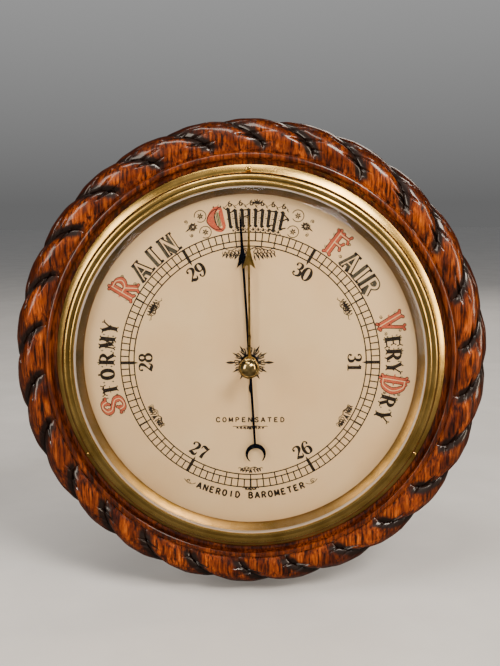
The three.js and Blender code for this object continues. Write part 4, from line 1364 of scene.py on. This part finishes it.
# %% Both hands
# Half widths up the blade, from the boss to the point.
BLADE = [(1.1, 4), (0.85, 7), (0.75, 30), (0.75, 59.6), (1.6, 58.9), (3.9, 57.2), (3.2, 59.6),
         (2.2, 62.4), (1.4, 65.4), (0.95, 68.4), (0.78, 74), (0.6, 82), (0.1, 90)]
SLIM_BLADE = [(0.95, 3.5), (0.7, 7), (0.6, 30), (0.6, 59.0), (1.5, 58.4), (3.9, 56.4),
              (3.2, 59), (2.1, 62.2), (1.2, 66), (0.75, 70), (0.55, 78), (0.1, 87.6)]
TAIL = [(0.78, -4), (0.62, -49.9), (-0.62, -49.9), (-0.78, -4)]
READING_BOSS = [(1.6, 41.2), (5.5, 41.2), (5.6, 41.3), (5.6, 41.75), (5.4, 41.9), (1.6, 41.9)]
SET_BOSS = [(1.6, 43.2), (4.3, 43.2), (4.4, 43.3), (4.4, 43.6), (4.2, 43.75), (1.6, 43.75)]


def add_boss(profile, verts, faces):
    boss_verts, boss_faces = lathe(profile, 64)
    faces.extend(tuple(i + len(verts) for i in face) for face in boss_faces)
    verts.extend(boss_verts)


verts, faces = [], []
reading = tilted(-3.3)
filed_plate(mirrored(BLADE), 41.2, 0.6, 0.10, reading, verts, faces)
filed_plate(TAIL, 41.22, 0.56, 0.10, reading, verts, faces)
filed_plate(crescent(-56, 6.2, 4.75, 1.3), 41.21, 0.58, 0.12, reading, verts, faces)
add_boss(READING_BOSS, verts, faces)
pointer = piece("blued_reading_hand", verts, faces, blued_steel, "pointer", "blued_steel",
                ["pointer_hand"], sharp=25)

verts, faces = [], []
filed_plate(mirrored(SLIM_BLADE), 43.2, 0.5, 0.08, tilted(0), verts, faces)
add_boss(SET_BOSS, verts, faces)
set_hand = piece("brass_set_hand", verts, faces, plain_brass, "set_hand", "lacquered_brass",
                 ["set_hand"], sharp=25)
print("hands:", len(pointer.data.polygons), len(set_hand.data.polygons))

# %% [markdown]
# The knob is turned from brass rod: a foot, a waist for the finger tips, then a thin rim round a
# low polished dome.

# %% Set knob
knob_profile = [
    (0, 50.2), (3.8, 50.2), (4.0, 50.4), (4.0, 50.8), (3.8, 51.0), (3.1, 51.6), (2.8, 52.5),
    (2.75, 53.6), (2.9, 54.6), (3.6, 55.6), (4.8, 56.3), (5.7, 56.7), (5.95, 57.1), (6.0, 57.6),
    (6.0, 58.4), (5.9, 58.9), (5.6, 59.1), (5.35, 59.0), (5.2, 59.1), (4.9, 59.6), (4.3, 60.3),
    (3.5, 61.0), (2.5, 61.55), (1.3, 61.9), (0, 62.0),
]
knob = piece("turned_set_knob", *lathe(knob_profile, 96), knob_brass, "set_hand", "lacquered_brass",
             ["set_knob"], sharp=50)
print("knob faces:", len(knob.data.polygons))

# %% [markdown]
# At the back a brass plate is let in flush and held by two countersunk screws. Its keyhole slips
# over a screw in the wall, and the slot above the round entry carries the weight.

# %% Hanging plate
def hanging_plate():
    corner = 2.0
    outline = []
    x, low, high = PLATE_HALF_WIDTH - corner, PLATE_LOW + corner, PLATE_HIGH - corner
    for cx, cz, start in ((x, high, 0), (-x, high, 90), (-x, low, 180), (x, low, 270)):
        outline += ring_outline(corner, start, start + 90, 8, cx, cz)
    verts, faces = [], []
    count = len(outline)
    for depth, filed in ((0.0, 0.3), (0.3, 0.0), (1.6, 0.0)):
        verts += [on_dial(x - math.copysign(filed, x), z - math.copysign(filed, z - PLATE_MIDDLE),
                          depth) for x, z in outline]
    for level in range(2):
        faces += band(level * count, (level + 1) * count, count)
    faces += [tuple(range(count)), tuple(range(2 * count, 3 * count))]
    made = piece("brass_hanging_plate", verts, faces, plain_brass, "case", "plain_brass",
                 ["hanging_plate"], sharp=30)
    screw_holes = [cutter(circle(x, PLATE_MIDDLE, 2.6), -1, 3)
                   for x in (-PLATE_SCREW_X, PLATE_SCREW_X)]
    cut_away(made, [cutter(keyhole(4.5, 2.4), -1, 4), *screw_holes])
    shade_crisply(made.data, 30)
    return made


plate = hanging_plate()
print("hanging plate faces:", len(plate.data.polygons))

# %% [markdown]
# The movement behind the dial keeps its shapes from the frame. Each of its pieces only needs the
# finish of the real metal, which the record's material slots give.

# %% Finishes for the rest of the frame
SLOT_FINISHES = {
    "oak": oak_finish, "lacquered_brass": lacquered_brass, "gilt_brass": gilt_brass,
    "glass": clear_glass, "enamel": cream_enamel, "blued_steel": blued_steel,
    "iron": blackened_iron, "nickel": nickel_silver, "plain_brass": plain_brass,
    "steel": polished_steel,
}
finished = 0
for part in frame["record"]["subparts"]:
    shape = frame["nodes"][part["node"]]
    for holder in shape.material_slots:
        holder.material = SLOT_FINISHES[part["material_slot"]]
    finished += 1
print("nodes given a finish:", finished)

# %% [markdown]
# The stage is a plain pale floor and soft studio light. Polished brass and shellac show whatever
# is round them, so rays that have bounced off the polish find the floor and the sky dark, as black
# cloth round a studio table would make them.

# %% Floor and sky
FLOOR_LOW = -0.150           # in metres, 6 mm under the case


def pale_floor():
    """A pale matt floor, which polish does not mirror: reflected rays find it dark."""
    material, tree = new_finish("pale_studio_floor")
    place = node(tree, "TexCoord").outputs["Object"]
    soft = node(tree, "TexNoise", {"Vector": place, "Scale": per_mm(60), "Detail": 3})
    tone = node(tree, "ValToRGB", {"Fac": soft}, [(0.4, grey(0.74)), (0.6, grey(0.78))])
    path = node(tree, "LightPath").outputs["Is Glossy Ray"]
    seen = node(tree, "Mix", {0: path, 6: tone, 7: grey(0.10)}, data_type="RGBA")
    shader = node(tree, "BsdfPrincipled", {"Base Color": seen, "Roughness": 0.8})
    node(tree, "OutputMaterial", {"Surface": shader})
    mesh = bpy.data.meshes.new("studio_floor")
    reach = 8.0
    mesh.from_pydata([(-reach, -reach, FLOOR_LOW), (reach, -reach, FLOOR_LOW),
                      (reach, reach, FLOOR_LOW), (-reach, reach, FLOOR_LOW)], [], [(0, 1, 2, 3)])
    mesh.materials.append(material)
    floor = put_in_scene("studio_floor", mesh)


def studio_sky():
    world = bpy.data.worlds.new("studio_sky")
    bpy.context.scene.world = world
    world.use_nodes = True
    tree = world.node_tree
    tree.nodes.clear()
    place = node(tree, "TexCoord").outputs["Generated"]
    toward_wall = node(tree, "SeparateXYZ", {"Vector": place}).outputs["Y"]
    shade = node(tree, "MapRange", {"Value": toward_wall, "From Min": -0.9, "From Max": 0.5,
                                    "To Min": 0.0, "To Max": 1.0})
    dark_cloth = node(tree, "ValToRGB", {"Fac": shade}, [
        (0.0, grey(0.30)), (0.40, grey(0.05)), (1.0, grey(0.03))])
    path = node(tree, "LightPath")
    colour = node(tree, "Mix", {0: path.outputs["Is Glossy Ray"], 6: grey(0.20), 7: dark_cloth},
                  data_type="RGBA")
    height = node(tree, "SeparateXYZ", {"Vector": place}).outputs["Z"]
    backdrop = node(tree, "MapRange", {"Value": height, "From Min": 0.0, "From Max": 0.25,
                                       "To Min": 0.14, "To Max": 0.36})
    colour = node(tree, "Mix", {0: path.outputs["Is Camera Ray"], 6: colour, 7: backdrop},
                  data_type="RGBA")
    sky = node(tree, "Background", {"Color": colour, "Strength": 1.0})
    node(tree, "OutputWorld", {"Surface": sky})


pale_floor()
studio_sky()
print("floor at", FLOOR_LOW, "m")

# %% [markdown]
# A few soft boxes put the bright streaks on the rings and the carving. The window box does most of
# that from the left, the front box lights the dial from high on the right, so that the bezel throws
# a soft shade on the dial there, and the rear box keeps the floor behind pale.

# %% Soft boxes
def soft_box(name, place, aim, wide, high, power, colour):
    lamp = bpy.data.lights.new(name, "AREA")
    lamp.shape, lamp.size, lamp.size_y = "RECTANGLE", wide, high
    lamp.energy, lamp.color = power, srgb(colour)[:3]
    box = put_in_scene(name, lamp)
    box.location = place
    box.rotation_euler = (Vector(aim) - Vector(place)).to_track_quat("-Z", "Y").to_euler()


soft_box("window_soft_box", (-0.92, -0.86, 0.36), (0, 0, 0), 0.32, 0.9, 9, 0xFFF1E0)
soft_box("side_soft_box", (1.1, -0.55, 0.25), (0, 0, 0), 0.20, 1.0, 9, 0xFFEBD2)
soft_box("top_soft_box", (-0.25, -0.45, 1.1), (0, -0.02, 0), 0.8, 0.2, 6, 0xFFF4E6)
soft_box("front_soft_box", (0.70, -1.15, 1.10), (0, 0, 0), 0.55, 0.45, 25, 0xFFF3E4)
soft_box("rear_soft_box", (0.6, 1.4, 0.9), (0, 0, 0), 0.8, 0.6, 6, 0xFFF3E4)
print("lamps:", len(bpy.data.lights))
